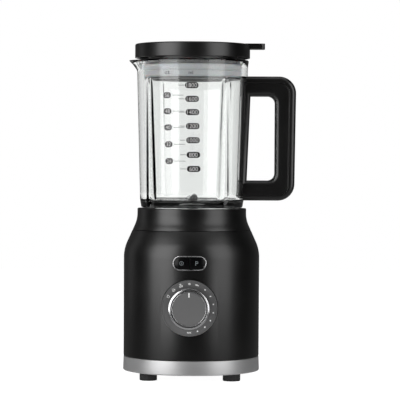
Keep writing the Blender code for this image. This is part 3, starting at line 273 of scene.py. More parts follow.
def metal(
    name, colour, roughness, stretch=(1.0, 1.0, 1.0), scale=400.0, depth=0.000004, drift=0.05, metallic=1.0
):
    """Metal with fine marks; stretch squeezes them into brushed or turned lines."""
    material, shader = shader_of(name)
    shader.inputs["Metallic"].default_value = metallic
    lines = noise(material, scale, 4.0, stretch)
    dark = [channel * (1 - drift) for channel in colour]
    light = [min(channel * (1 + drift), 1.0) for channel in colour]
    tinted(material, shader, lines, dark, light)
    join(material, spread(material, lines, roughness * 0.85, roughness * 1.15), shader.inputs["Roughness"])
    bumped(material, shader, lines, 0.3, depth)
    return material


def clear_glass():
    material, shader = shader_of("clear_glass")
    shader.inputs["Transmission Weight"].default_value = 1.0
    shader.inputs["IOR"].default_value = 1.5
    tinted(material, shader, noise(material, 12.0), (0.890, 0.905, 0.895), (0.905, 0.915, 0.908))
    join(material, spread(material, noise(material, 60.0), 0.0, 0.012), shader.inputs["Roughness"])
    return material


def silicone(name, colour):
    material = plastic(name, colour, 0.42, 900.0, 0.00001, 0.04)
    shader = material.node_tree.nodes["Principled BSDF"]
    shader.inputs["Subsurface Weight"].default_value = 0.25
    shader.inputs["Subsurface Scale"].default_value = 0.004
    return material


TURNED = (0.15, 0.15, 14.0)
LOOKS = {
    "satin_black": plastic("moulded_satin_black", (0.0016, 0.0015, 0.0015), 0.33, gloss=0.9),
    "matte_black": plastic("moulded_matte_black", (0.0100, 0.0100, 0.0105), 0.58),
    "gloss_black": plastic("polished_black", (0.0020, 0.0020, 0.0023), 0.24, 300.0, 0.000002, gloss=0.25),
    "rubber": plastic("black_rubber", (0.0220, 0.0220, 0.0225), 0.72, 1500.0, 0.00004, 0.2, 0.35),
    "dial_grey": plastic("dial_grey_plastic", (0.1150, 0.1150, 0.1160), 0.50, 2600.0, 0.00001, 0.03, 0.3),
    "chrome": metal("polished_chrome", (0.80, 0.80, 0.81), 0.22, scale=150.0, drift=0.01),
    "brushed_ring": metal("brushed_aluminium", (0.67, 0.67, 0.675), 0.46, TURNED, metallic=0.85),
    "steel": metal("stainless_steel", (0.55, 0.55, 0.555), 0.24, (1.0, 6.0, 6.0), 300.0),
    "zinc": metal("zinc_plated", (0.50, 0.51, 0.52), 0.36, scale=900.0, drift=0.12),
    "brass": metal("turned_brass", (0.72, 0.50, 0.21), 0.30, TURNED),
    "copper": metal("enamelled_copper", (0.62, 0.26, 0.13), 0.34, (1.0, 1.0, 14.0), 700.0, drift=0.15),
    "carbon": plastic("carbon_block", (0.0280, 0.0280, 0.0280), 0.66, 3500.0, 0.00003, 0.3),
    "coupler": plastic("coupler_nylon", (0.0160, 0.0160, 0.0170), 0.46, 1800.0),
    "board_green": plastic("board_green_lacquer", (0.0150, 0.1000, 0.0420), 0.36, 500.0, 0.00001, 0.18),
    "silicone": silicone("grey_silicone", (0.50, 0.51, 0.53)),
    "glass": clear_glass(),
}
INKS = {
    "black": plastic("black_ink", (0.0040, 0.0040, 0.0045), 0.45, 3000.0, 0.000004),
    "grey": plastic("grey_ink", (0.0700, 0.0690, 0.0700), 0.50, 3000.0, 0.000004),
    "white": plastic("white_ink", (0.8800, 0.8800, 0.8700), 0.50, 3000.0, 0.000004, 0.03),
    "dim": plastic("dim_blue_grey_ink", (0.1500, 0.1700, 0.1780), 0.45, 3000.0, 0.000004),
}


# ---- shapes


def arc(centre_x, centre_y, radius, start, end, steps):
    """Points on an arc from one angle to another, in degrees, both ends included."""
    angles = [math.radians(start + (end - start) * i / steps) for i in range(steps + 1)]
    return [(centre_x + radius * math.cos(a), centre_y + radius * math.sin(a)) for a in angles]


def rounded(points, closed=True, steps=5):
    """An outline with its corners rounded. A point is (x, y), or (x, y, radius) where it is rounded."""
    outline = []
    for index, point in enumerate(points):
        corner = Vector(point[:2])
        inner_point = closed or 0 < index < len(points) - 1
        if len(point) < 3 or not inner_point:
            outline.append(tuple(corner))
            continue
        before = Vector(points[index - 1][:2]) - corner
        after = Vector(points[(index + 1) % len(points)][:2]) - corner
        half = before.angle(after) / 2
        reach = min(point[2] / math.tan(half), before.length * 0.49, after.length * 0.49)
        centre = corner + (before.normalized() + after.normalized()).normalized() * (reach / math.cos(half))
        first = corner + before.normalized() * reach - centre
        last = corner + after.normalized() * reach - centre
        turn = math.atan2(first.x * last.y - first.y * last.x, first.dot(last))
        for step in range(steps + 1):
            angle = turn * step / steps
            cosine, sine = math.cos(angle), math.sin(angle)
            outline.append(
                (centre.x + first.x * cosine - first.y * sine, centre.y + first.x * sine + first.y * cosine)
            )
    return outline


def to_mesh(shape, name):
    bmesh.ops.remove_doubles(shape, verts=shape.verts, dist=0.0000005)
    bmesh.ops.recalc_face_normals(shape, faces=shape.faces)
    mesh = bpy.data.meshes.new(name)
    shape.to_mesh(mesh)
    shape.free()
    return mesh


def skin(shape, rings, closed_rings, closed_row):
    """Faces between neighbouring rings. A ring of one vertex is a point on the axis."""
    following_rings = rings[1:] + (rings[:1] if closed_row else [])
    for ring, following in zip(rings, following_rings):
        count = max(len(ring), len(following))
        for here in range(count if closed_rings else count - 1):
            there = (here + 1) % count
            corners = []
            for row, index in ((ring, here), (ring, there), (following, there), (following, here)):
                vertex = row[index % len(row)]
                if vertex not in corners:
                    corners.append(vertex)
            if len(corners) > 2:
                shape.faces.new(corners)


def lathe(name, profile, sides=144, closed=True, swell=None):
    """A profile of (radius, height) turned round Z. swell(angle, height) adds to the radius."""
    shape = bmesh.new()
    rings = []
    for radius, height in profile:
        if radius < 0.000001:
            rings.append([shape.verts.new((0.0, 0.0, height))])
            continue
        ring = []
        for index in range(sides):
            angle = 2 * math.pi * index / sides
            reach = radius + (swell(angle, height) if swell else 0.0)
            ring.append(shape.verts.new((reach * math.cos(angle), reach * math.sin(angle), height)))
        rings.append(ring)
    skin(shape, rings, True, closed)
    return to_mesh(shape, name)


def prism(name, outlines, low, high):
    """A flat outline, with any holes given as further outlines, filled between two heights."""
    curve = bpy.data.curves.new(name, "CURVE")
    curve.dimensions = "2D"
    curve.fill_mode = "BOTH"
    curve.extrude = (high - low) / 2
    for outline in outlines:
        spline = curve.splines.new("POLY")
        spline.points.add(len(outline) - 1)
        for point, (x, y) in zip(spline.points, outline):
            point.co = (x, y, 0.0, 1.0)
        spline.use_cyclic_u = True
    return from_curve(curve, (low + high) / 2)


def from_curve(curve, lift):
    """The curve's mesh, closed, and moved up by lift."""
    holder = bpy.data.objects.new(curve.name, curve)
    SCENE_OBJECTS.link(holder)
    graph = bpy.context.evaluated_depsgraph_get()
    mesh = bpy.data.meshes.new_from_object(holder.evaluated_get(graph))
    bpy.data.objects.remove(holder)
    shape = bmesh.new()
    shape.from_mesh(mesh)
    bmesh.ops.translate(shape, vec=(0.0, 0.0, lift), verts=shape.verts)
    bpy.data.meshes.remove(mesh)
    return to_mesh(shape, curve.name)


def drum(name, radius, low, high, place=(0.0, 0.0), along="Z", sides=64):
    """A capped cylinder along Z, X or Y."""
    mesh = lathe(name, [(0.0, high), (radius, high), (radius, low), (0.0, low)], sides, closed=False)
    if along == "X":
        mesh.transform(Matrix(((0, 0, 1, 0), (1, 0, 0, place[0]), (0, 1, 0, place[1]), (0, 0, 0, 1))))
    elif along == "Y":
        mesh.transform(Matrix(((0, 1, 0, place[0]), (0, 0, 1, 0), (1, 0, 0, place[1]), (0, 0, 0, 1))))
    else:
        mesh.transform(Matrix.Translation((*place, 0.0)))
    return mesh


def combined(mesh, tools, operation="DIFFERENCE"):
    """The mesh after the same Boolean step with each of the other meshes."""
    holder = bpy.data.objects.new(mesh.name, mesh)
    SCENE_OBJECTS.link(holder)
    helpers = []
    for tool in tools:
        helper = bpy.data.objects.new("helper", tool)
        SCENE_OBJECTS.link(helper)
        helpers.append(helper)
        modifier = holder.modifiers.new("step", "BOOLEAN")
        modifier.operation = operation
        modifier.solver = "EXACT"
        modifier.object = helper
    graph = bpy.context.evaluated_depsgraph_get()
    result = bpy.data.meshes.new_from_object(holder.evaluated_get(graph))
    for helper in [holder, *helpers]:
        bpy.data.objects.remove(helper)
    return result


def bevelled(mesh, width, segments=3, angle=40):
    """Rounds the mesh's sharp edges."""
    shape = bmesh.new()
    shape.from_mesh(mesh)
    edges = [e for e in shape.edges if len(e.link_faces) == 2 and e.calc_face_angle() > math.radians(angle)]
    bmesh.ops.bevel(
        shape, geom=edges, offset=width, segments=segments, profile=0.5, affect="EDGES", clamp_overlap=True
    )
    return to_mesh(shape, mesh.name)


def merged(name, meshes):
    shape = bmesh.new()
    for mesh in meshes:
        shape.from_mesh(mesh)
    mesh = bpy.data.meshes.new(name)
    shape.to_mesh(mesh)
    shape.free()
    return mesh


def piece(name, mesh, look, body, nodes=(), crease=32):
    """Puts a finished mesh, laid out round the motor's axis, in the scene on its body."""
    mesh.transform(Matrix.Translation(AXIS))
    mesh.materials.clear()
    mesh.materials.append(look)
    for polygon in mesh.polygons:
        polygon.use_smooth = True
    mesh.set_sharp_from_angle(angle=math.radians(crease))
    obj = bpy.data.objects.new(name, mesh)
    SCENE_OBJECTS.link(obj)
    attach(obj, body)
    if nodes:
        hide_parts(*nodes)
    return obj


def finished(name, mesh, slot, body, *nodes, crease=32):
    """A piece that stands for CAD nodes and takes the look of its material slot."""
    return piece(name, mesh, LOOKS[slot], body, nodes, crease)


# ---- motor base


def shoulder():
    """Where the shoulder's two arcs meet the straight slope, and the height where the lower arc starts."""
    sine, cosine = math.sin(SHOULDER_SLOPE), math.cos(SHOULDER_SLOPE)
    upper = (NECK_RADIUS + NECK_ARC * (1 - cosine), NECK_START - NECK_ARC * sine)
    lower_radius = BODY_RADIUS - SHOULDER_ARC * (1 - cosine)
    lower_height = upper[1] - (lower_radius - upper[0]) / math.tan(SHOULDER_SLOPE)
    return upper, lower_height - SHOULDER_ARC * sine


def slope_radius(height):
    upper = shoulder()[0]
    return upper[0] + (upper[1] - height) * math.tan(SHOULDER_SLOPE)


def shoulder_curve(inset):
    start = shoulder()[1]
    slope = math.degrees(SHOULDER_SLOPE)
    return arc(BODY_RADIUS - SHOULDER_ARC, start, SHOULDER_ARC - inset, slope, 0, 16)


def make_housing():
    skirt = RING_RADIUS - 0.0026
    inner = BODY_RADIUS - WALL
    profile = rounded(
        [(slope_radius(SEAM), SEAM, 0.0005)]
        + shoulder_curve(0.0)
        + [
            (BODY_RADIUS, BODY_LOW, 0.0016), (skirt, BODY_LOW), (skirt, 0.0213), (skirt - 0.0026, 0.0213),
            (skirt - 0.0026, 0.0300), (inner, 0.0330),
        ]
        + shoulder_curve(WALL)[::-1]
        + [(slope_radius(SEAM) - WALL * 1.15, SEAM)]
    )
    shell = lathe("housing_shell", profile, 192)
    dial_hole = drum("dial_hole", DIAL_RADIUS + DIAL_GAP, -0.110, -0.060, (0.0, DIAL_HEIGHT), "Y", 128)
    pill_hole = prism("pill_hole", [pill(PILL_LENGTH / 2 + GAP, PILL_WIDTH / 2 + GAP)], 0.060, 0.110)
    pill_hole.transform(TO_FRONT)
    gland_hole = drum("gland_hole", 0.0065 + GAP, 0.060, 0.100, (0.0, GLAND_HEIGHT), "Y")
    shell = combined(shell, [dial_hole, pill_hole, gland_hole])
    finished("housing_shell", shell, "satin_black", "motor_base", "housing")


def make_collar():
    seam = SEAM + GAP
    under = CUP_FLOOR - 0.0035
    slope = math.degrees(SHOULDER_SLOPE)
    profile = rounded(
        [(NECK_RADIUS, COLLAR_HIGH, 0.0012)]
        + arc(NECK_RADIUS + NECK_ARC, NECK_START, NECK_ARC, 180, 180 + slope, 16)
        + [
            (slope_radius(seam), seam, 0.0005), (0.0700, seam), (0.0700, 0.1795), (0.0670, 0.1795),
            (0.0670, under), (CUP_HOLE_RADIUS, under), (CUP_HOLE_RADIUS, CUP_FLOOR, 0.0008),
            (CUP_FLOOR_RADIUS, CUP_FLOOR, 0.0012), (CUP_TOP_RADIUS, COLLAR_HIGH, 0.0008),
        ]
    )
    finished("collar_shell", lathe("collar_shell", profile, 192), "satin_black", "motor_base", "collar")


def make_ring():
    inside = RING_RADIUS - 0.0022
    profile = rounded(
        [
            (RING_RADIUS - 0.0006, RING_HIGH, 0.0006), (RING_RADIUS, RING_LOW + 0.0010, 0.0008),
            (RING_RADIUS - 0.0008, RING_LOW, 0.0005), (inside, RING_LOW), (inside, RING_HIGH),
        ]
    )
    finished("trim_ring", lathe("trim_ring", profile, 192), "brushed_ring", "motor_base", "base_ring")


def make_feet():
    ribs = 12
    depth = 0.0007
    profile = rounded(
        [
            (0.0, FOOT_HIGH), (FOOT_RADIUS, FOOT_HIGH), (FOOT_RADIUS, 0.0, 0.0010),
            (FOOT_RADIUS * 0.72, 0.0, 0.0004), (FOOT_RADIUS * 0.66, 0.0008, 0.0004), (0.0, 0.0008),
        ],
        closed=False,
    )

    def fluted(angle, height):
        return depth * (math.cos(ribs * angle) - 1) / 2 if 0.0005 < height < FOOT_HIGH else 0.0

    for number in range(1, 5):
        low, high = span(f"foot_{number}")
        mesh = lathe(f"ribbed_foot_{number}", profile, ribs * 10, False, fluted)
        mesh.transform(Matrix.Translation(((low.x + high.x) / 2, (low.y + high.y) / 2, 0.0)))
        finished(f"ribbed_foot_{number}", mesh, "rubber", "motor_base", f"foot_{number}", crease=60)


def make_gland():
    inner = BODY_RADIUS - WALL - 0.0010
    profile = rounded(
        [
            (0.0032, GLAND_BACK, 0.0006), (0.0052, GLAND_BACK, 0.0006),
            (0.0062, GLAND_BACK - 0.0035, 0.0006), (0.0085, GLAND_BACK - 0.0038, 0.0008),
            (0.0085, BODY_RADIUS + GAP), (0.0065, BODY_RADIUS + GAP), (0.0065, inner), (0.0080, inner),
            (0.0080, inner - 0.0020), (0.0032, inner - 0.0020),
        ]
    )
    mesh = lathe("grommet", profile, 64)
    mesh.transform(Matrix.Translation((0.0, 0.0, GLAND_HEIGHT)) @ Matrix.Rotation(-math.pi / 2, 4, "X"))
    finished("grommet", mesh, "rubber", "motor_base", "cord_gland")


# ---- controls


def pill(half_length, half_width, steps=24):
    """A bar with round ends, centred on the buttons, in the front frame."""
    middle = PILL_HEIGHT - DIAL_HEIGHT
    run = half_length - half_width
    return arc(run, middle, half_width, -90, 90, steps) + arc(-run, middle, half_width, 90, 270, steps)


def on_body(x, y, proud):
    """A front-frame place over the housing's curved wall."""
    radius = BODY_RADIUS + proud
    return (x, -math.sqrt(radius * radius - x * x), y + DIAL_HEIGHT)


def make_bezel():
    """A round-topped ring that follows the housing's curve."""
    shape = bmesh.new()
    half = BEZEL_BAND / 2
    section = [(-half, -WALL), (-half, BEZEL_PROUD * 0.25)]
    section += [(half * math.cos(math.radians(a)), BEZEL_PROUD * (0.25 + 0.75 * math.sin(math.radians(a))))
                for a in range(157, 0, -22)]
    section += [(half, BEZEL_PROUD * 0.25), (half, -WALL)]
    rings = []
    for offset, proud in section:
        outline = pill(PILL_LENGTH / 2 - half + offset, PILL_WIDTH / 2 - half + offset)
        rings.append([shape.verts.new(on_body(x, y, proud)) for x, y in outline])
    skin(shape, rings, True, True)
    mesh = to_mesh(shape, "bezel_ring")
    finished("bezel_ring", mesh, "chrome", "motor_base", "button_bezel", crease=50)


def make_buttons():
    half_length = PILL_LENGTH / 2 - BEZEL_BAND - GAP
    half_width = PILL_WIDTH / 2 - BEZEL_BAND - GAP
    middle = PILL_HEIGHT - DIAL_HEIGHT
    slot = 0.0003
    face = BODY_RADIUS + 0.0002
    low, high = PILL_HEIGHT - 0.020, PILL_HEIGHT + 0.020
    for side, key in ((-1, "power"), (1, "pulse")):
        outline = [(slot, middle - half_width)]
        outline += arc(half_length - half_width, middle, half_width, -90, 90, 24)
        outline += [(slot, middle + half_width)]
        if side < 0:
            outline = [(-x, y) for x, y in reversed(outline)]
        mesh = prism(f"{key}_cap", [outline], 0.070, 0.095)
        mesh.transform(TO_FRONT)
        wall = lathe("wall", [(face, high), (face, low), (face - 0.0042, low), (face - 0.0042, high)], 288)
        stem_end = -span(f"{key}_button")[1].y
        stem = drum("stem", 0.0022, -0.0822, stem_end, (side * 0.0098, PILL_HEIGHT), "Y", 24)
        mesh = combined(bevelled(combined(mesh, [wall], "INTERSECT"), 0.00035, 2, 60), [stem], "UNION")
        finished(f"{key}_cap", mesh, "gloss_black", f"{key}_key", f"{key}_button")
        marks = power_sign() if side < 0 else [lettering("P", 0.0054, 0.00008)]
        print_marks(f"{key}_sign", marks, INKS["dim"], f"{key}_key", -0.0098 if side < 0 else 0.0088)


def power_sign():
    """A ring round an upright bar."""
    outer, inner = arc(0.0, 0.0, 0.0026, 0, 351, 39), arc(0.0, 0.0, 0.0020, 0, 351, 39)
    bar = [(-0.0003, -0.0012), (0.0003, -0.0012), (0.0003, 0.0012), (-0.0003, 0.0012)]
    return [prism("power_ring", [outer, inner], 0.0, 0.00008), prism("power_bar", [bar], 0.0, 0.00008)]


def print_marks(name, meshes, ink, body, x):
    """Marks bent on to a button's curved face."""
    mesh = merged(name, meshes)
    for vertex in mesh.vertices:
        across, up, lift = vertex.co
        vertex.co = on_body(across + x, up + PILL_HEIGHT - DIAL_HEIGHT, 0.00022 + lift)
    piece(name, mesh, ink, body)


def lettering(text, height, thick, bold=0.0):
    """Plain lettering, centred, between Z 0 and thick. bold widens the strokes, or thins them."""
    curve = bpy.data.curves.new("lettering", "FONT")
    curve.body = text
    curve.size = 0.01
    curve.offset = bold
    curve.extrude = thick / 2
    curve.resolution_u = 5
    mesh = from_curve(curve, thick / 2)
    xs = [vertex.co.x for vertex in mesh.vertices]
    ys = [vertex.co.y for vertex in mesh.vertices]
    size = height / (max(ys) - min(ys))
    middle_x, middle_y = (max(xs) + min(xs)) / 2, (max(ys) + min(ys)) / 2
    for vertex in mesh.vertices:
        vertex.co.x = (vertex.co.x - middle_x) * size
        vertex.co.y = (vertex.co.y - middle_y) * size
    return mesh


def make_dial():
    face = DIAL_FRONT - 0.0004
    inner = DIAL_RADIUS - 0.0024
    profile = rounded(
        [
            (0.0042, face), (DIAL_RADIUS - 0.0016, face, 0.0003),
            (DIAL_RADIUS - 0.0012, DIAL_FRONT, 0.0003), (DIAL_RADIUS, DIAL_FRONT, 0.0006),
            (DIAL_RADIUS, DIAL_BACK), (inner, DIAL_BACK), (inner, DIAL_FRONT - 0.0030),
            (0.0042, DIAL_FRONT - 0.0030),
        ]
    )
    mesh = lathe("dial_face", profile, 144)
    mesh.transform(TO_FRONT)
    finished("dial_face", mesh, "dial_grey", "motor_base", "dial_plate")
    make_dial_marks(face)


def make_dial_marks(face):
    """Dots for the speeds, the words at both ends, a nought at rest and three simple pictures."""
    thick = 0.00008
    radius = 0.0295
    marks = []

    def put(mesh, degrees, upright=False):
        angle = math.radians(degrees)
        place = Matrix.Translation((radius * math.sin(angle), radius * math.cos(angle), face))
        turn = Matrix.Identity(4) if upright else Matrix.Rotation(-angle, 4, "Z")
        mesh.transform(TO_FRONT @ place @ turn)
        marks.append(mesh)

    for degrees in range(40, 180, 20):
        put(prism("dot", [arc(0.0, 0.0, 0.0009, 0, 345, 23)], 0.0, thick), degrees)
    circles = [arc(0.0, 0.0, radius, 0, 345, 23) for radius in (0.0013, 0.0006)]
    put(prism("nought", circles, 0.0, thick), 0)
    put(lettering("MIN", 0.0018, thick, 0.0004), 18)
    put(lettering("MAX", 0.0018, thick, 0.0004), 180, True)
    for degrees, shapes in ((-21, ice_picture()), (-41, bowl_picture()), (-61, cup_picture())):
        for outlines in shapes:
            put(prism("picture", outlines, 0.0, thick), degrees)
    piece("dial_marks", merged("dial_marks", marks), INKS["white"], "motor_base")


def frame_of(outline, share):
    """An outline and a smaller copy of it, which leaves a thin frame."""
    middle_x = sum(x for x, _ in outline) / len(outline)
    middle_y = sum(y for _, y in outline) / len(outline)
    smaller = [(middle_x + (x - middle_x) * share, middle_y + (y - middle_y) * share) for x, y in outline]
    return [outline, smaller]


def ice_picture():
    """Three cubes in a heap."""
    half = 0.00095
    places = ((-0.0012, -0.0012), (0.0012, -0.0012), (0.0, 0.0012))
    return [
        frame_of([(x - half, y - half), (x + half, y - half), (x + half, y + half), (x - half, y + half)], 0.45)
        for x, y in places
    ]


def bowl_picture():
    """A bowl under two wisps of steam."""
    bowl = arc(0.0, 0.0, 0.0021, 180, 360, 16)
    wisps = [
        [[(x - 0.0002, 0.0006), (x + 0.0002, 0.0006), (x + 0.0005, 0.0019), (x + 0.0001, 0.0019)]]
        for x in (-0.0010, 0.0006)
    ]
    return [frame_of(bowl, 0.6), *wisps]


def cup_picture():
    """A tumbler with a straw."""
    cup = [(-0.0012, -0.0020), (0.0012, -0.0020), (0.0017, 0.0010), (-0.0017, 0.0010)]
    straw = [(0.0003, 0.0012), (0.0007, 0.0012), (0.0016, 0.0024), (0.0011, 0.0024)]
    return [frame_of(cup, 0.66), [straw]]


def make_knob():
    face = KNOB_FRONT - 0.0008
    back = DIAL_FRONT + 0.0006
    seat = 0.0219
    body = rounded(
        [
            (0.0, face - 0.0002), (seat - 0.0020, face - 0.0002, 0.0002), (seat - 0.0018, face - 0.0007),
            (seat - 0.0009, face - 0.0007), (seat - 0.0007, face, 0.0002), (seat - GAP, face - 0.0006),
            (seat - GAP, face - 0.0100), (KNOB_RADIUS - 0.0014, face - 0.0100, 0.0003),
            (KNOB_RADIUS - 0.0006, back, 0.0004), (KNOB_RADIUS - 0.0030, back),
            (KNOB_RADIUS - 0.0036, face - 0.0125), (0.0070, face - 0.0125), (0.0070, back),
            (0.0034, back), (0.0034, face - 0.0060), (0.0, face - 0.0060),
        ],
        closed=False,
    )
    mesh = lathe("knob_body", body, 128, closed=False)
    mesh.transform(TO_FRONT)
    finished("knob_body", mesh, "dial_grey", "speed_knob", "knob")
    inner, outer = seat + 0.0004, KNOB_RADIUS
    ring = rounded(
        [
            (inner, KNOB_FRONT - 0.0004, 0.0003), (inner + 0.0003, KNOB_FRONT, 0.0002),
            (outer - 0.0003, KNOB_FRONT - 0.0008, 0.0005), (outer, KNOB_FRONT - 0.0018, 0.0005),
            (outer, face - 0.0097), (inner, face - 0.0097),
        ],
        steps=7,
    )
    mesh = lathe("knob_trim", ring, 128)
    mesh.transform(TO_FRONT)
    finished("knob_trim", mesh, "chrome", "speed_knob", "knob_ring", crease=50)
    bead_radius = seat - 0.00135
    bead = [(bead_radius + x, face - 0.00045 + y) for x, y in arc(0.0, 0.0, 0.00045, 0, 330, 11)]
    mesh = lathe("knob_bead", bead, 128)
    mesh.transform(TO_FRONT)
    piece("knob_bead", mesh, LOOKS["chrome"], "speed_knob", crease=80)
    outline = rounded(
        [(-0.00065, 0.0142, 0.0004), (0.00065, 0.0142, 0.0004), (0.00065, 0.0197), (-0.00065, 0.0197)], steps=3
    )
    mesh = prism("pointer", [outline], face - 0.0002, face - 0.0001)
    mesh.transform(TO_FRONT)
    piece("knob_pointer", mesh, INKS["white"], "speed_knob")


# ---- jar


def glass_radius(height):
    """The jar's outer radius on its straight taper."""
    share = (height - TAPER_LOW) / (TAPER_HIGH - TAPER_LOW)
    return HEEL_RADIUS + (TAPER_TOP_RADIUS - HEEL_RADIUS) * share


def rib(angle, height, low):
    """How far a rib pushes the wall in, at an angle in degrees and a height. It fades out below low."""
    climb = min(max((height - RIB_ARCH_LOW) / RIB_ARCH_HEIGHT, 0.0), 1.0)
    arch = math.sqrt(1.0 - climb * climb)
    foot = min(max((height - low + 0.008) / 0.008, 0.0), 1.0)
    nearest = min(abs((angle - centre + 180) % 360 - 180) for centre in RIB_CENTRES)
    share = min(max((height - TAPER_LOW) / (RIB_ARCH_LOW - TAPER_LOW), 0.0), 1.0)
    width = RIB_FOOT_ANGLE + (RIB_TOP_ANGLE - RIB_FOOT_ANGLE) * share
    half_angle = width * max(arch, 0.3)
    if nearest >= half_angle:
        return 0.0
    depth = RIB_DEPTH * width / RIB_FOOT_ANGLE * arch * foot
    return depth * 0.5 * (1 + math.cos(math.pi * nearest / half_angle))


def spout(angle, height):
    """How far the pouring lip pushes the wall out."""
    away = abs((angle - SPOUT_ANGLE + 180) % 360 - 180)
    if away >= SPOUT_HALF_ANGLE or height <= SPOUT_LOW:
        return 0.0
    climb = (height - SPOUT_LOW) / (RIM_HEIGHT - SPOUT_LOW)
    return SPOUT_REACH * climb**1.3 * 0.5 * (1 + math.cos(math.pi * away / SPOUT_HALF_ANGLE))


def taper_heights():
    """Rows up the straight wall, closer together where the ribs arch over and the spout starts."""
    low_part = [TAPER_LOW + step * 0.0115 for step in range(12)]
    arch_part = [RIB_ARCH_LOW + RIB_ARCH_HEIGHT * math.sin(math.radians(a)) for a in range(0, 91, 9)]
    return low_part + arch_part + [0.3750, 0.3780, 0.3810, TAPER_HIGH]


def glass_rows():
    """The wall's section as (radius, height): up the outside and over the rim, then down the inside."""
    heights = taper_heights()
    outer = rounded(
        [
            (JAR_NECK_RADIUS, JAR_NECK_LOW, 0.0006), (JAR_NECK_RADIUS, GLASS_LOW, 0.0008),
            (0.0632, GLASS_LOW, 0.0020), (HEEL_RADIUS, TAPER_LOW, 0.0040),
        ],
        closed=False,
    )[:-1]
    outer += [(glass_radius(height), height) for height in heights]
    outer += rounded(
        [(glass_radius(TAPER_HIGH), TAPER_HIGH), (0.0697, 0.3905, 0.0040), (RIM_RADIUS, 0.3942, 0.0012),
         (RIM_RADIUS - 0.0006, RIM_HEIGHT, 0.0009), (RIM_RADIUS - 0.0044, RIM_HEIGHT, 0.0012),
         (0.0645, 0.3938, 0.0012), (0.0630, 0.3895)],
        closed=False,
    )[1:]
    inner = [(glass_radius(height) - GLASS_WALL, height) for height in reversed(heights) if height > 0.230]
    inner += rounded(
        [
            (glass_radius(0.2290) - GLASS_WALL, 0.2290), (0.0572, 0.2200, 0.0050),
            (0.0430, 0.2165, 0.0040), (JAR_BORE_RADIUS, 0.2135, 0.0010), (JAR_BORE_RADIUS, JAR_NECK_LOW),
        ],
        closed=False,
    )
    return outer, inner


def make_glass():
    outer, inner = glass_rows()
    columns = 360
    rim_rows = 8
    shape = bmesh.new()
    rings = []
    for number, (radius, height) in enumerate(outer + inner):
        outside = number < len(outer) - rim_rows
        ring = []
        for index in range(columns):
            angle = 360 * index / columns
            reach = spout(angle, height) * (1.0 if outside else 1.12)
            distance = radius - rib(angle, height, TAPER_LOW if outside else 0.2280) + reach
            at = math.radians(angle)
            ring.append(shape.verts.new((distance * math.cos(at), distance * math.sin(at), height)))
        rings.append(ring)
    skin(shape, rings, True, True)
    glass = to_mesh(shape, "jar_wall")
    lugs = []
    for height in LUG_HEIGHTS:
        start, end = glass_radius(height) - GLASS_WALL / 2, glass_radius(height) + LUG_PROUD
        lugs.append(drum("lug", LUG_RADIUS, start, end, (0.0, height), "X", 48))
    finished("jar_wall", combined(glass, lugs, "UNION"), "glass", "jar", "jar_glass", crease=40)


def wrapped(mesh, x, z, lift=0.00004):
    """Bends a flat print, laid out round its own middle, on to the glass at a place seen from the front."""
    for vertex in mesh.vertices:
        across, up, proud = vertex.co
        height = z + up
        radius = glass_radius(height)
        angle = math.asin(x / radius) + across / radius
        reach = radius + lift + proud
        vertex.co = (reach * math.sin(angle), -reach * math.cos(angle), height)
    return mesh


def strip(name, length, width, round_ends, thick=0.00005, steps=24):
    """A flat bar or capsule in many slices, so that it can be bent."""
    shape = bmesh.new()
    half = length / 2
    rings = []
    for index in range(steps + 1):
        x = -half + length * index / steps
        if round_ends:
            x = -half * math.cos(math.pi * index / steps)
        away = max(abs(x) - (half - width / 2), 0.0) if round_ends else 0.0
        high = math.sqrt(max((width / 2) ** 2 - away * away, 0.0)) + 0.00001
        corners = ((x, -high, 0.0), (x, high, 0.0), (x, high, thick), (x, -high, thick))
        rings.append([shape.verts.new(corner) for corner in corners])
    skin(shape, rings, True, False)
    shape.faces.new(rings[0])
    shape.faces.new(rings[-1])
    return to_mesh(shape, name)


def make_jar_print():
    """A scale in millilitres and one in fluid ounces."""
    black, white, grey = [], [], []
    ml_heights = (0.3622, 0.3456, 0.3294, 0.3124, 0.2952, 0.2774, 0.2602)
    oz_heights = (0.3501, 0.3306, 0.3108, 0.2902, 0.2697)
    top, bottom = ml_heights[0], ml_heights[-1]

    def across(first, last, height):
        return first + (last - first) * (top - height) / (top - bottom)

    for number, height in enumerate(ml_heights):
        x = across(0.0011, 0.0039, height)
        black.append(wrapped(strip("capsule", 0.0166, 0.0074, True), x, height))
        digits = lettering(str(1800 - 200 * number), 0.0048, 0.00004, -0.0002)
        white.append(wrapped(digits, x, height, 0.0001))
        tick = strip("tick", 0.0072, 0.0006, False)
        grey.append(wrapped(tick, x - 0.0129, height))
    for number, height in enumerate(oz_heights):
        x = across(-0.0297, -0.0260, height)
        grey.append(wrapped(strip("oval", 0.0104, 0.0073, True), x, height))
        digits = lettering(str(56 - 8 * number), 0.0044, 0.00004, -0.0002)
        white.append(wrapped(digits, x, height, 0.0001))
        tick = strip("tick", 0.0136, 0.0005, False)
        grey.append(wrapped(tick, x + 0.0134, height))
    header = 0.3778
    grey.append(wrapped(lettering("oz", 0.0034, 0.00004), -0.0292, header))
    black.append(wrapped(lettering("ml", 0.0042, 0.00004), -0.0001, header))
    piece("scale_black", merged("scale_black", black), INKS["black"], "jar")
    piece("scale_white", merged("scale_white", white), INKS["white"], "jar")
    piece("scale_grey", merged("scale_grey", grey), INKS["grey"], "jar")


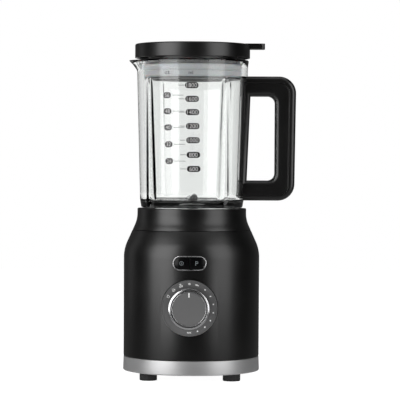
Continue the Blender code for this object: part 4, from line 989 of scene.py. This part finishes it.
def make_jar_foot():
    low = span("jar_nut")[0].z
    high = span("jar_nut")[1].z
    floor = low + 0.0035
    grips = 36

    def gripped(angle, height):
        inside = low + 0.0020 < height < high - 0.0020
        return -0.0006 * max(math.cos(grips * angle), 0.0) if inside else 0.0

    profile = rounded(
        [
            (0.0540, high, 0.0008), (0.0552, high - 0.0015, 0.0008), (0.0551, (low + high) / 2),
            (0.0549, low + 0.0010, 0.0008), (0.0540, low, 0.0006), (0.0240, low, 0.0006), (0.0240, floor),
            (JAR_NECK_RADIUS + 0.0004, floor), (JAR_NECK_RADIUS + 0.0004, high),
        ]
    )
    mesh = lathe("ring_nut", profile, grips * 6, swell=gripped)
    finished("ring_nut", mesh, "matte_black", "jar", "jar_nut")
    flange_low, flange_high = floor + GAP, floor + 0.0040 + GAP
    base = rounded(
        [
            (0.0100, 0.2131, 0.0006), (0.0180, 0.2112, 0.0040), (0.0300, 0.2062, 0.0060),
            (0.0372, 0.2040, 0.0020), (0.0396, 0.2010, 0.0010), (0.0396, flange_high),
            (0.0457, flange_high), (0.0457, flange_low), (0.0200, flange_low, 0.0006), (0.0200, 0.1985),
            (0.0073, 0.1985), (0.0073, 0.2131),
        ]
    )
    finished("blade_seat", lathe("blade_seat", base, 144), "steel", "jar", "blade_base")


# ---- handle


def handle_outline(inset_top, inset_side, inset_bottom, left, corner, steps=14):
    """The handle's outside, open towards the jar: along the top, down the grip and back along the bottom."""
    top, bottom = HANDLE_TOP - inset_top, HANDLE_BOTTOM + inset_bottom
    right_top, right_bottom = REACH_TOP - inset_side, REACH_BOTTOM - inset_side
    return (
        [(left, top)]
        + arc(right_top - corner, top - corner, corner, 90, 0, steps)
        + arc(right_bottom - corner, bottom + corner, corner, 0, -90, steps)
        + [(left, bottom)]
    )


def band(name, outer, inner, half_depth, closed, outer_bevel, inner_bevel):
    """A flat band between two outlines of as many points, with its long edges rounded."""
    shape = bmesh.new()
    rows = [
        [shape.verts.new((x, y, side * half_depth)) for x, y in outline]
        for side, outline in ((1, outer), (-1, outer), (-1, inner), (1, inner))
    ]
    count = len(outer)
    spans = [(i, (i + 1) % count) for i in range(count if closed else count - 1)]
    for row, following in zip(rows, rows[1:] + rows[:1]):
        for here, there in spans:
            shape.faces.new((row[here], row[there], following[there], following[here]))
    if not closed:
        shape.faces.new([row[0] for row in rows])
        shape.faces.new([row[-1] for row in reversed(rows)])
    bmesh.ops.recalc_face_normals(shape, faces=shape.faces)
    for pair, bevel in ((rows[0:2], outer_bevel), (rows[2:4], inner_bevel)):
        edges = [shape.edges.get((row[a], row[b])) for row in pair for a, b in spans]
        bmesh.ops.bevel(
            shape, geom=edges, offset=bevel, segments=6, profile=0.5, affect="EDGES", clamp_overlap=True
        )
    return to_mesh(shape, name)


def make_handle():
    left = 0.0560
    corner = HANDLE_CORNER - COVER_SIDE
    outside = handle_outline(COVER_SIDE + GAP, COVER_SIDE + GAP, COVER_BOTTOM + GAP, left, corner)
    opening = (
        [(STRAP_TOP_X, OPENING_TOP)]
        + arc(GRIP_INNER - OPENING_CORNER, OPENING_TOP - OPENING_CORNER, OPENING_CORNER, 90, 0, 14)
        + arc(GRIP_INNER - OPENING_CORNER, OPENING_BOTTOM + OPENING_CORNER, OPENING_CORNER, 0, -90, 14)
        + [(STRAP_BOTTOM_X, OPENING_BOTTOM)]
    )
    inner_part = band("grip_frame", outside, opening, HANDLE_HALF_WIDTH - 0.0004, True, 0.0008, 0.0060)
    outer = handle_outline(0.0, 0.0, 0.0, left, HANDLE_CORNER)
    inner = handle_outline(COVER_SIDE, COVER_SIDE, COVER_BOTTOM, left, corner)
    outer_part = band("grip_cover", outer, inner, HANDLE_HALF_WIDTH, False, 0.0055, 0.0006)
    low, high = 0.2150, 0.3800
    cone = [(0.0, high), (glass_radius(high) + GAP, high), (glass_radius(low) + GAP, low), (0.0, low)]
    pockets, holes = [], []
    for height in LUG_HEIGHTS:
        end = glass_radius(height) + LUG_PROUD + GAP
        pockets.append(drum("pocket", LUG_RADIUS + GAP, end - 0.008, end, (0.0, height), "X", 32))
    for number in (1, 2):
        low_corner, high_corner = span(f"handle_screw_{number}")
        height = (low_corner.z + high_corner.z) / 2
        head = (high_corner.z - low_corner.z) / 2 + GAP
        pockets.append(drum("seat", head, GRIP_INNER - 0.004, GRIP_INNER + 0.0035, (0.0, height), "X", 48))
        holes.append(drum("way", 0.0021, GRIP_INNER, high_corner.x + GAP, (0.0, height), "X", 24))
    for mesh, slot_cuts, node in (
        (inner_part, pockets, "handle_frame"), (outer_part, [], "handle_cover"),
    ):
        mesh.transform(TO_SIDE)
        cuts = [lathe("clearance", cone, 240, closed=False), *slot_cuts, *[hole.copy() for hole in holes]]
        finished(mesh.name.split(".")[0], combined(mesh, cuts), "satin_black", "jar", node)


# ---- blades


def smooth_stations(stations, steps=8):
    """More stations between the given ones, on a smooth curve."""
    fine = []
    last = len(stations) - 1
    for index in range(last):
        around = [stations[min(max(index + step, 0), last)] for step in (-1, 0, 1, 2)]
        for step in range(steps):
            t = step / steps
            point = []
            for a, b, c, d in zip(*around):
                curve = 2 * a - 5 * b + 4 * c - d + t * (3 * (b - c) + d - a)
                point.append(b + 0.5 * t * (c - a + t * curve))
            fine.append(tuple(point))
    fine.append(stations[last])
    return fine


def blade(name, stations, turn):
    """A bent steel strip with ground edges. A station is (place along, half width, height)."""
    shape = bmesh.new()
    grind = 0.0014
    rings = []
    for along, half_width, height in smooth_stations(stations):
        low, high = HUB_LOW + height, HUB_LOW + height + BLADE_THICK
        flat = max(half_width - grind, half_width * 0.2)
        edge = low + BLADE_THICK * 0.3
        section = (
            (-half_width, edge), (-flat, low), (flat, low), (half_width, edge),
            (half_width, edge + 0.0002), (flat, high), (-flat, high), (-half_width, edge + 0.0002),
        )
        rings.append([shape.verts.new((along, y, z)) for y, z in section])
    skin(shape, rings, True, False)
    shape.faces.new(rings[0])
    shape.faces.new(rings[-1])
    mesh = to_mesh(shape, name)
    hole = drum("hub_hole", SHAFT_RADIUS + GAP, HUB_LOW - 0.003, HUB_LOW + 0.008, sides=32)
    mesh = combined(mesh, [hole])
    mesh.transform(Matrix.Rotation(turn, 4, "Z"))
    return mesh


def make_blades():
    rise = BLADE_THICK + GAP
    lower = [
        (-0.0340, 0.0015, -0.0012), (-0.0300, 0.0045, -0.0010), (-0.0130, 0.0070, 0.0012),
        (-0.0085, 0.0075, 0.0), (0.0085, 0.0075, 0.0), (0.0130, 0.0070, 0.0012),
        (0.0300, 0.0045, -0.0010), (0.0340, 0.0015, -0.0012),
    ]
    upper = [
        (-0.0270, 0.0012, 0.0133), (-0.0245, 0.0035, 0.0113), (-0.0110, 0.0062, rise + 0.0008),
        (-0.0085, 0.0068, rise), (0.0085, 0.0068, rise), (0.0110, 0.0062, rise + 0.0008),
        (0.0250, 0.0038, 0.0073), (0.0285, 0.0012, 0.0088),
    ]
    finished("lower_wings", blade("lower_wings", lower, 0.0), "steel", "blade_set", "lower_blade")
    turn = math.pi / 2 + BLADE_TURN
    finished("upper_wings", blade("upper_wings", upper, turn), "steel", "blade_set", "upper_blade")
    low, high = span("blade_nut")[0].z, span("blade_nut")[1].z
    corners = rounded([(*point, 0.0006) for point in arc(0.0, 0.0, 0.0075, 0, 300, 5)])
    hole = arc(0.0, 0.0, SHAFT_RADIUS + GAP, 0, 348, 29)
    nut = prism("hub_nut", [corners, hole], low, high)
    finished("hub_nut", bevelled(nut, 0.0004), "steel", "blade_set", "blade_nut")


def lobed(radius, lobes=6, depth=0.0016, points=144):
    """A round outline with rounded teeth."""
    outline = []
    for number in range(points):
        angle = 2 * math.pi * number / points
        reach = radius + depth * math.cos(lobes * angle)
        outline.append((reach * math.cos(angle), reach * math.sin(angle)))
    return outline


def make_couplers():
    """The driving star on the motor and the socket on the jar that drops over it."""
    low, high = span("drive_coupler")[0].z, span("drive_coupler")[1].z
    star = bevelled(prism("drive_star", [lobed(0.0100)], low, high), 0.0006)
    bore = drum("bore", SHAFT_RADIUS + GAP, low - 0.002, high - 0.005, sides=32)
    finished("drive_star", combined(star, [bore]), "coupler", "rotor", "drive_coupler")
    low, high = span("jar_coupler")[0].z, span("jar_coupler")[1].z
    profile = rounded([(0.0, high), (0.0170, high, 0.0006), (0.0170, low, 0.0008), (0.0, low)], closed=False)
    socket = lathe("drive_socket", profile, 96, closed=False)
    hollow = prism("hollow", [lobed(0.0105)], low - 0.002, 0.1922)
    bore = drum("bore", SHAFT_RADIUS + GAP, low, high + 0.002, sides=32)
    finished("drive_socket", combined(socket, [hollow, bore]), "coupler", "blade_set", "jar_coupler")


# ---- lid


def make_lid():
    under = LID_HIGH - LID_PLATE
    skirt = LID_RADIUS - 0.0024
    collar_low, ledge = 0.3960, 0.4000
    plug = PLUG_RADIUS - PLUG_WALL
    profile = rounded(
        [
            (FILLER_RADIUS, LID_HIGH, 0.0006), (LID_RADIUS, LID_HIGH, 0.0018),
            (LID_RADIUS, LID_LOW, 0.0006), (skirt, LID_LOW, 0.0004), (skirt, under, 0.0010),
            (PLUG_RADIUS, under, 0.0010), (PLUG_RADIUS, PLUG_FLANGE_HIGH),
            (PLUG_FLANGE_RADIUS, PLUG_FLANGE_HIGH, 0.0004), (PLUG_FLANGE_RADIUS, PLUG_LOW, 0.0008),
            (plug, PLUG_LOW, 0.0008), (plug, under, 0.0010), (FILLER_RADIUS + 0.0030, under),
            (FILLER_RADIUS + 0.0030, collar_low, 0.0006), (FILLER_RADIUS - 0.0026, collar_low, 0.0006),
            (FILLER_RADIUS - 0.0026, ledge), (FILLER_RADIUS, ledge),
        ]
    )
    start = LID_RADIUS - 0.0060
    edge = 0.0045
    outline = rounded(
        [
            (start, -TAB_HALF_WIDTH), (TAB_REACH, -TAB_HALF_WIDTH, edge),
            (TAB_REACH, TAB_HALF_WIDTH, edge), (start, TAB_HALF_WIDTH),
        ],
        steps=10,
    )
    tab = bevelled(prism("lid_tab", [outline], TAB_LOW, TAB_HIGH), 0.0009)
    mesh = combined(lathe("lid_shell", profile, 192), [tab], "UNION")
    finished("lid_shell", mesh, "satin_black", "lid_set", "lid")


def make_seal():
    """A silicone ring round the plug, with two soft ridges."""
    low, high = span("lid_seal")[0].z, span("lid_seal")[1].z
    root = SEAL_RADIUS - 0.0012
    ridges = 2
    pitch = (high - low) / ridges
    profile = [(root, high, 0.0003)]
    for number in range(ridges):
        top = high - number * pitch
        profile += [(SEAL_RADIUS, top - 0.0008, 0.0007), (SEAL_RADIUS, top - pitch + 0.0014, 0.0007)]
        profile += [(root, top - pitch + 0.0008, 0.0003)]
    profile += [(root, low), (PLUG_RADIUS + GAP, low), (PLUG_RADIUS + GAP, high)]
    finished("seal_ring", lathe("seal_ring", rounded(profile), 192), "silicone", "lid_set", "lid_seal")


def make_cap():
    edge = FILLER_RADIUS - GAP
    low = span("filler_cap")[0].z
    floor = LID_HIGH - 0.0095
    profile = rounded(
        [
            (0.0, LID_HIGH), (edge, LID_HIGH, 0.0010), (edge, low, 0.0005), (edge - 0.0026, low, 0.0005),
            (edge - 0.0026, floor, 0.0010), (0.0, floor),
        ],
        closed=False,
    )
    bar, reach = 0.0055, 0.0220
    start = math.degrees(math.asin(bar / reach))
    cuts = []
    for side in (-1, 1):
        outline = [(x, side * y) for x, y in arc(0.0, 0.0, reach, start, 180 - start, 40)]
        cuts.append(prism("recess", [outline], LID_HIGH - 0.0068, LID_HIGH + 0.002))
    mesh = combined(lathe("cap_shell", profile, 144, closed=False), cuts)
    finished("cap_shell", bevelled(mesh, 0.0004, 2, 60), "satin_black", "filler", "filler_cap")


# ---- CAD nodes that stay


def finish_kept_nodes():
    """Gives each CAD node that still shows the look of its own slot."""
    for row in frame["record"]["materials"]:
        for node in row.get("nodes", []):
            obj = frame["nodes"][node]
            if obj.hide_render:
                continue
            obj.data.materials.clear()
            obj.data.materials.append(LOOKS[row["slot"]])


# ---- studio


def make_camera():
    """A long lens, a little to the handle's side and at about two thirds of the blender's height."""
    target = AXIS + CAMERA_TARGET
    data = bpy.data.cameras.new("camera")
    data.sensor_width = 36.0
    data.lens = CAMERA_LENS
    data.clip_start = 0.05
    data.clip_end = 50.0
    camera = bpy.data.objects.new("camera", data)
    aside, forward = math.sin(CAMERA_TURN), -math.cos(CAMERA_TURN)
    camera.location = AXIS + Vector((CAMERA_DISTANCE * aside, CAMERA_DISTANCE * forward, CAMERA_HEIGHT))
    aim = (target - camera.location).to_track_quat("-Z", "Y")
    camera.rotation_mode = "QUATERNION"
    camera.rotation_quaternion = aim @ Quaternion((0.0, 0.0, 1.0), CAMERA_ROLL)
    SCENE_OBJECTS.link(camera)
    bpy.context.scene.camera = camera


def softbox(name, azimuth, elevation, distance, width, height, radiance):
    """A soft rectangle of light aimed at the blender. Azimuth 0 is the front and 90 the handle's side."""
    around, up = math.radians(azimuth), math.radians(elevation)
    middle = AXIS + Vector((0.0, 0.0, 0.2000))
    towards = Vector((math.sin(around) * math.cos(up), -math.cos(around) * math.cos(up), math.sin(up)))
    data = bpy.data.lights.new(name, "AREA")
    data.shape = "RECTANGLE"
    data.size = width
    data.size_y = height
    data.energy = radiance * math.pi * width * height
    light = bpy.data.objects.new(name, data)
    light.location = middle + towards * distance
    light.rotation_mode = "QUATERNION"
    light.rotation_quaternion = towards.to_track_quat("Z", "Y")
    light.visible_camera = False
    SCENE_OBJECTS.link(light)


def make_lights():
    softbox("left_softbox", -48, 14, 1.7, 1.35, 1.6, 2.5)
    softbox("right_softbox", 53, 14, 1.7, 1.15, 1.6, 1.75)
    softbox("rim_softbox", -118, 10, 1.7, 0.6, 1.2, 0.25)
    softbox("top_softbox", 0, 86, 2.3, 2.6, 2.6, 0.7)


def make_world():
    """White behind the blender as seen, and a dim room for what it reflects, lighter behind and below."""
    world = bpy.data.worlds.new("studio")
    bpy.context.scene.world = world
    world.use_nodes = True

    def ramp(axis, start, end, value):
        """Rises from nothing to value as the direction's part along an axis goes from start to end."""
        ranged = add(world, "ShaderNodeMapRange", From_Min=start, From_Max=end, To_Max=value)
        join(world, split.outputs[axis], ranged.inputs["Value"])
        return ranged.outputs["Result"]

    def joined(first, second, operation):
        """A sum, product, maximum or comparison of an output with another one or with a number."""
        result = add(world, "ShaderNodeMath", operation=operation)
        join(world, first, result.inputs[0])
        if isinstance(second, float):
            result.inputs[1].default_value = second
        else:
            join(world, second, result.inputs[1])
        return result.outputs["Value"]

    place = add(world, "ShaderNodeTexCoord")
    split = add(world, "ShaderNodeSeparateXYZ")
    join(world, place.outputs["Generated"], split.inputs["Vector"])
    room = joined(ramp("Y", 0.2, 1.0, BACK_LIGHT), ramp("Z", -0.1, -0.6, BELOW_LIGHT), "ADD")
    rays = add(world, "ShaderNodeLightPath")
    seen = joined(rays.outputs["Is Camera Ray"], rays.outputs["Is Transmission Ray"], "MAXIMUM")
    bounces = joined(rays.outputs["Glossy Depth"], rays.outputs["Diffuse Depth"], "ADD")
    seen = joined(seen, joined(bounces, 1.5, "LESS_THAN"), "MULTIPLY")
    background = world.node_tree.nodes["Background"]
    background.inputs["Color"].default_value = (1.0, 1.0, 1.0, 1.0)
    join(world, joined(room, seen, "MAXIMUM"), background.inputs["Strength"])


def make_floor():
    """A large white table top."""
    shape = bmesh.new()
    bmesh.ops.create_circle(shape, cap_ends=True, segments=96, radius=2.6)
    mesh = bpy.data.meshes.new("floor")
    shape.to_mesh(mesh)
    shape.free()
    material, shader = shader_of("white_table")
    tinted(material, shader, noise(material, 3.0), (0.90, 0.90, 0.90), (0.92, 0.92, 0.92))
    shader.inputs["Roughness"].default_value = 0.8
    shader.inputs["Specular IOR Level"].default_value = 0.1
    shader.inputs["Emission Color"].default_value = (1.0, 1.0, 1.0, 1.0)
    shader.inputs["Emission Strength"].default_value = 0.95
    mesh.materials.append(material)
    floor = bpy.data.objects.new("floor", mesh)
    floor.location.z = -0.0002
    floor.visible_glossy = False
    SCENE_OBJECTS.link(floor)


# ---- the whole scene

bpy.context.scene.view_settings.view_transform = "Standard"
for make in (
    make_camera, make_world, make_lights, make_floor,
    make_housing, make_collar, make_ring, make_feet, make_gland,
    make_bezel, make_buttons, make_dial, make_knob,
    make_glass, make_jar_print, make_jar_foot, make_handle, make_blades, make_couplers,
    make_lid, make_seal, make_cap, finish_kept_nodes,
):
    make()
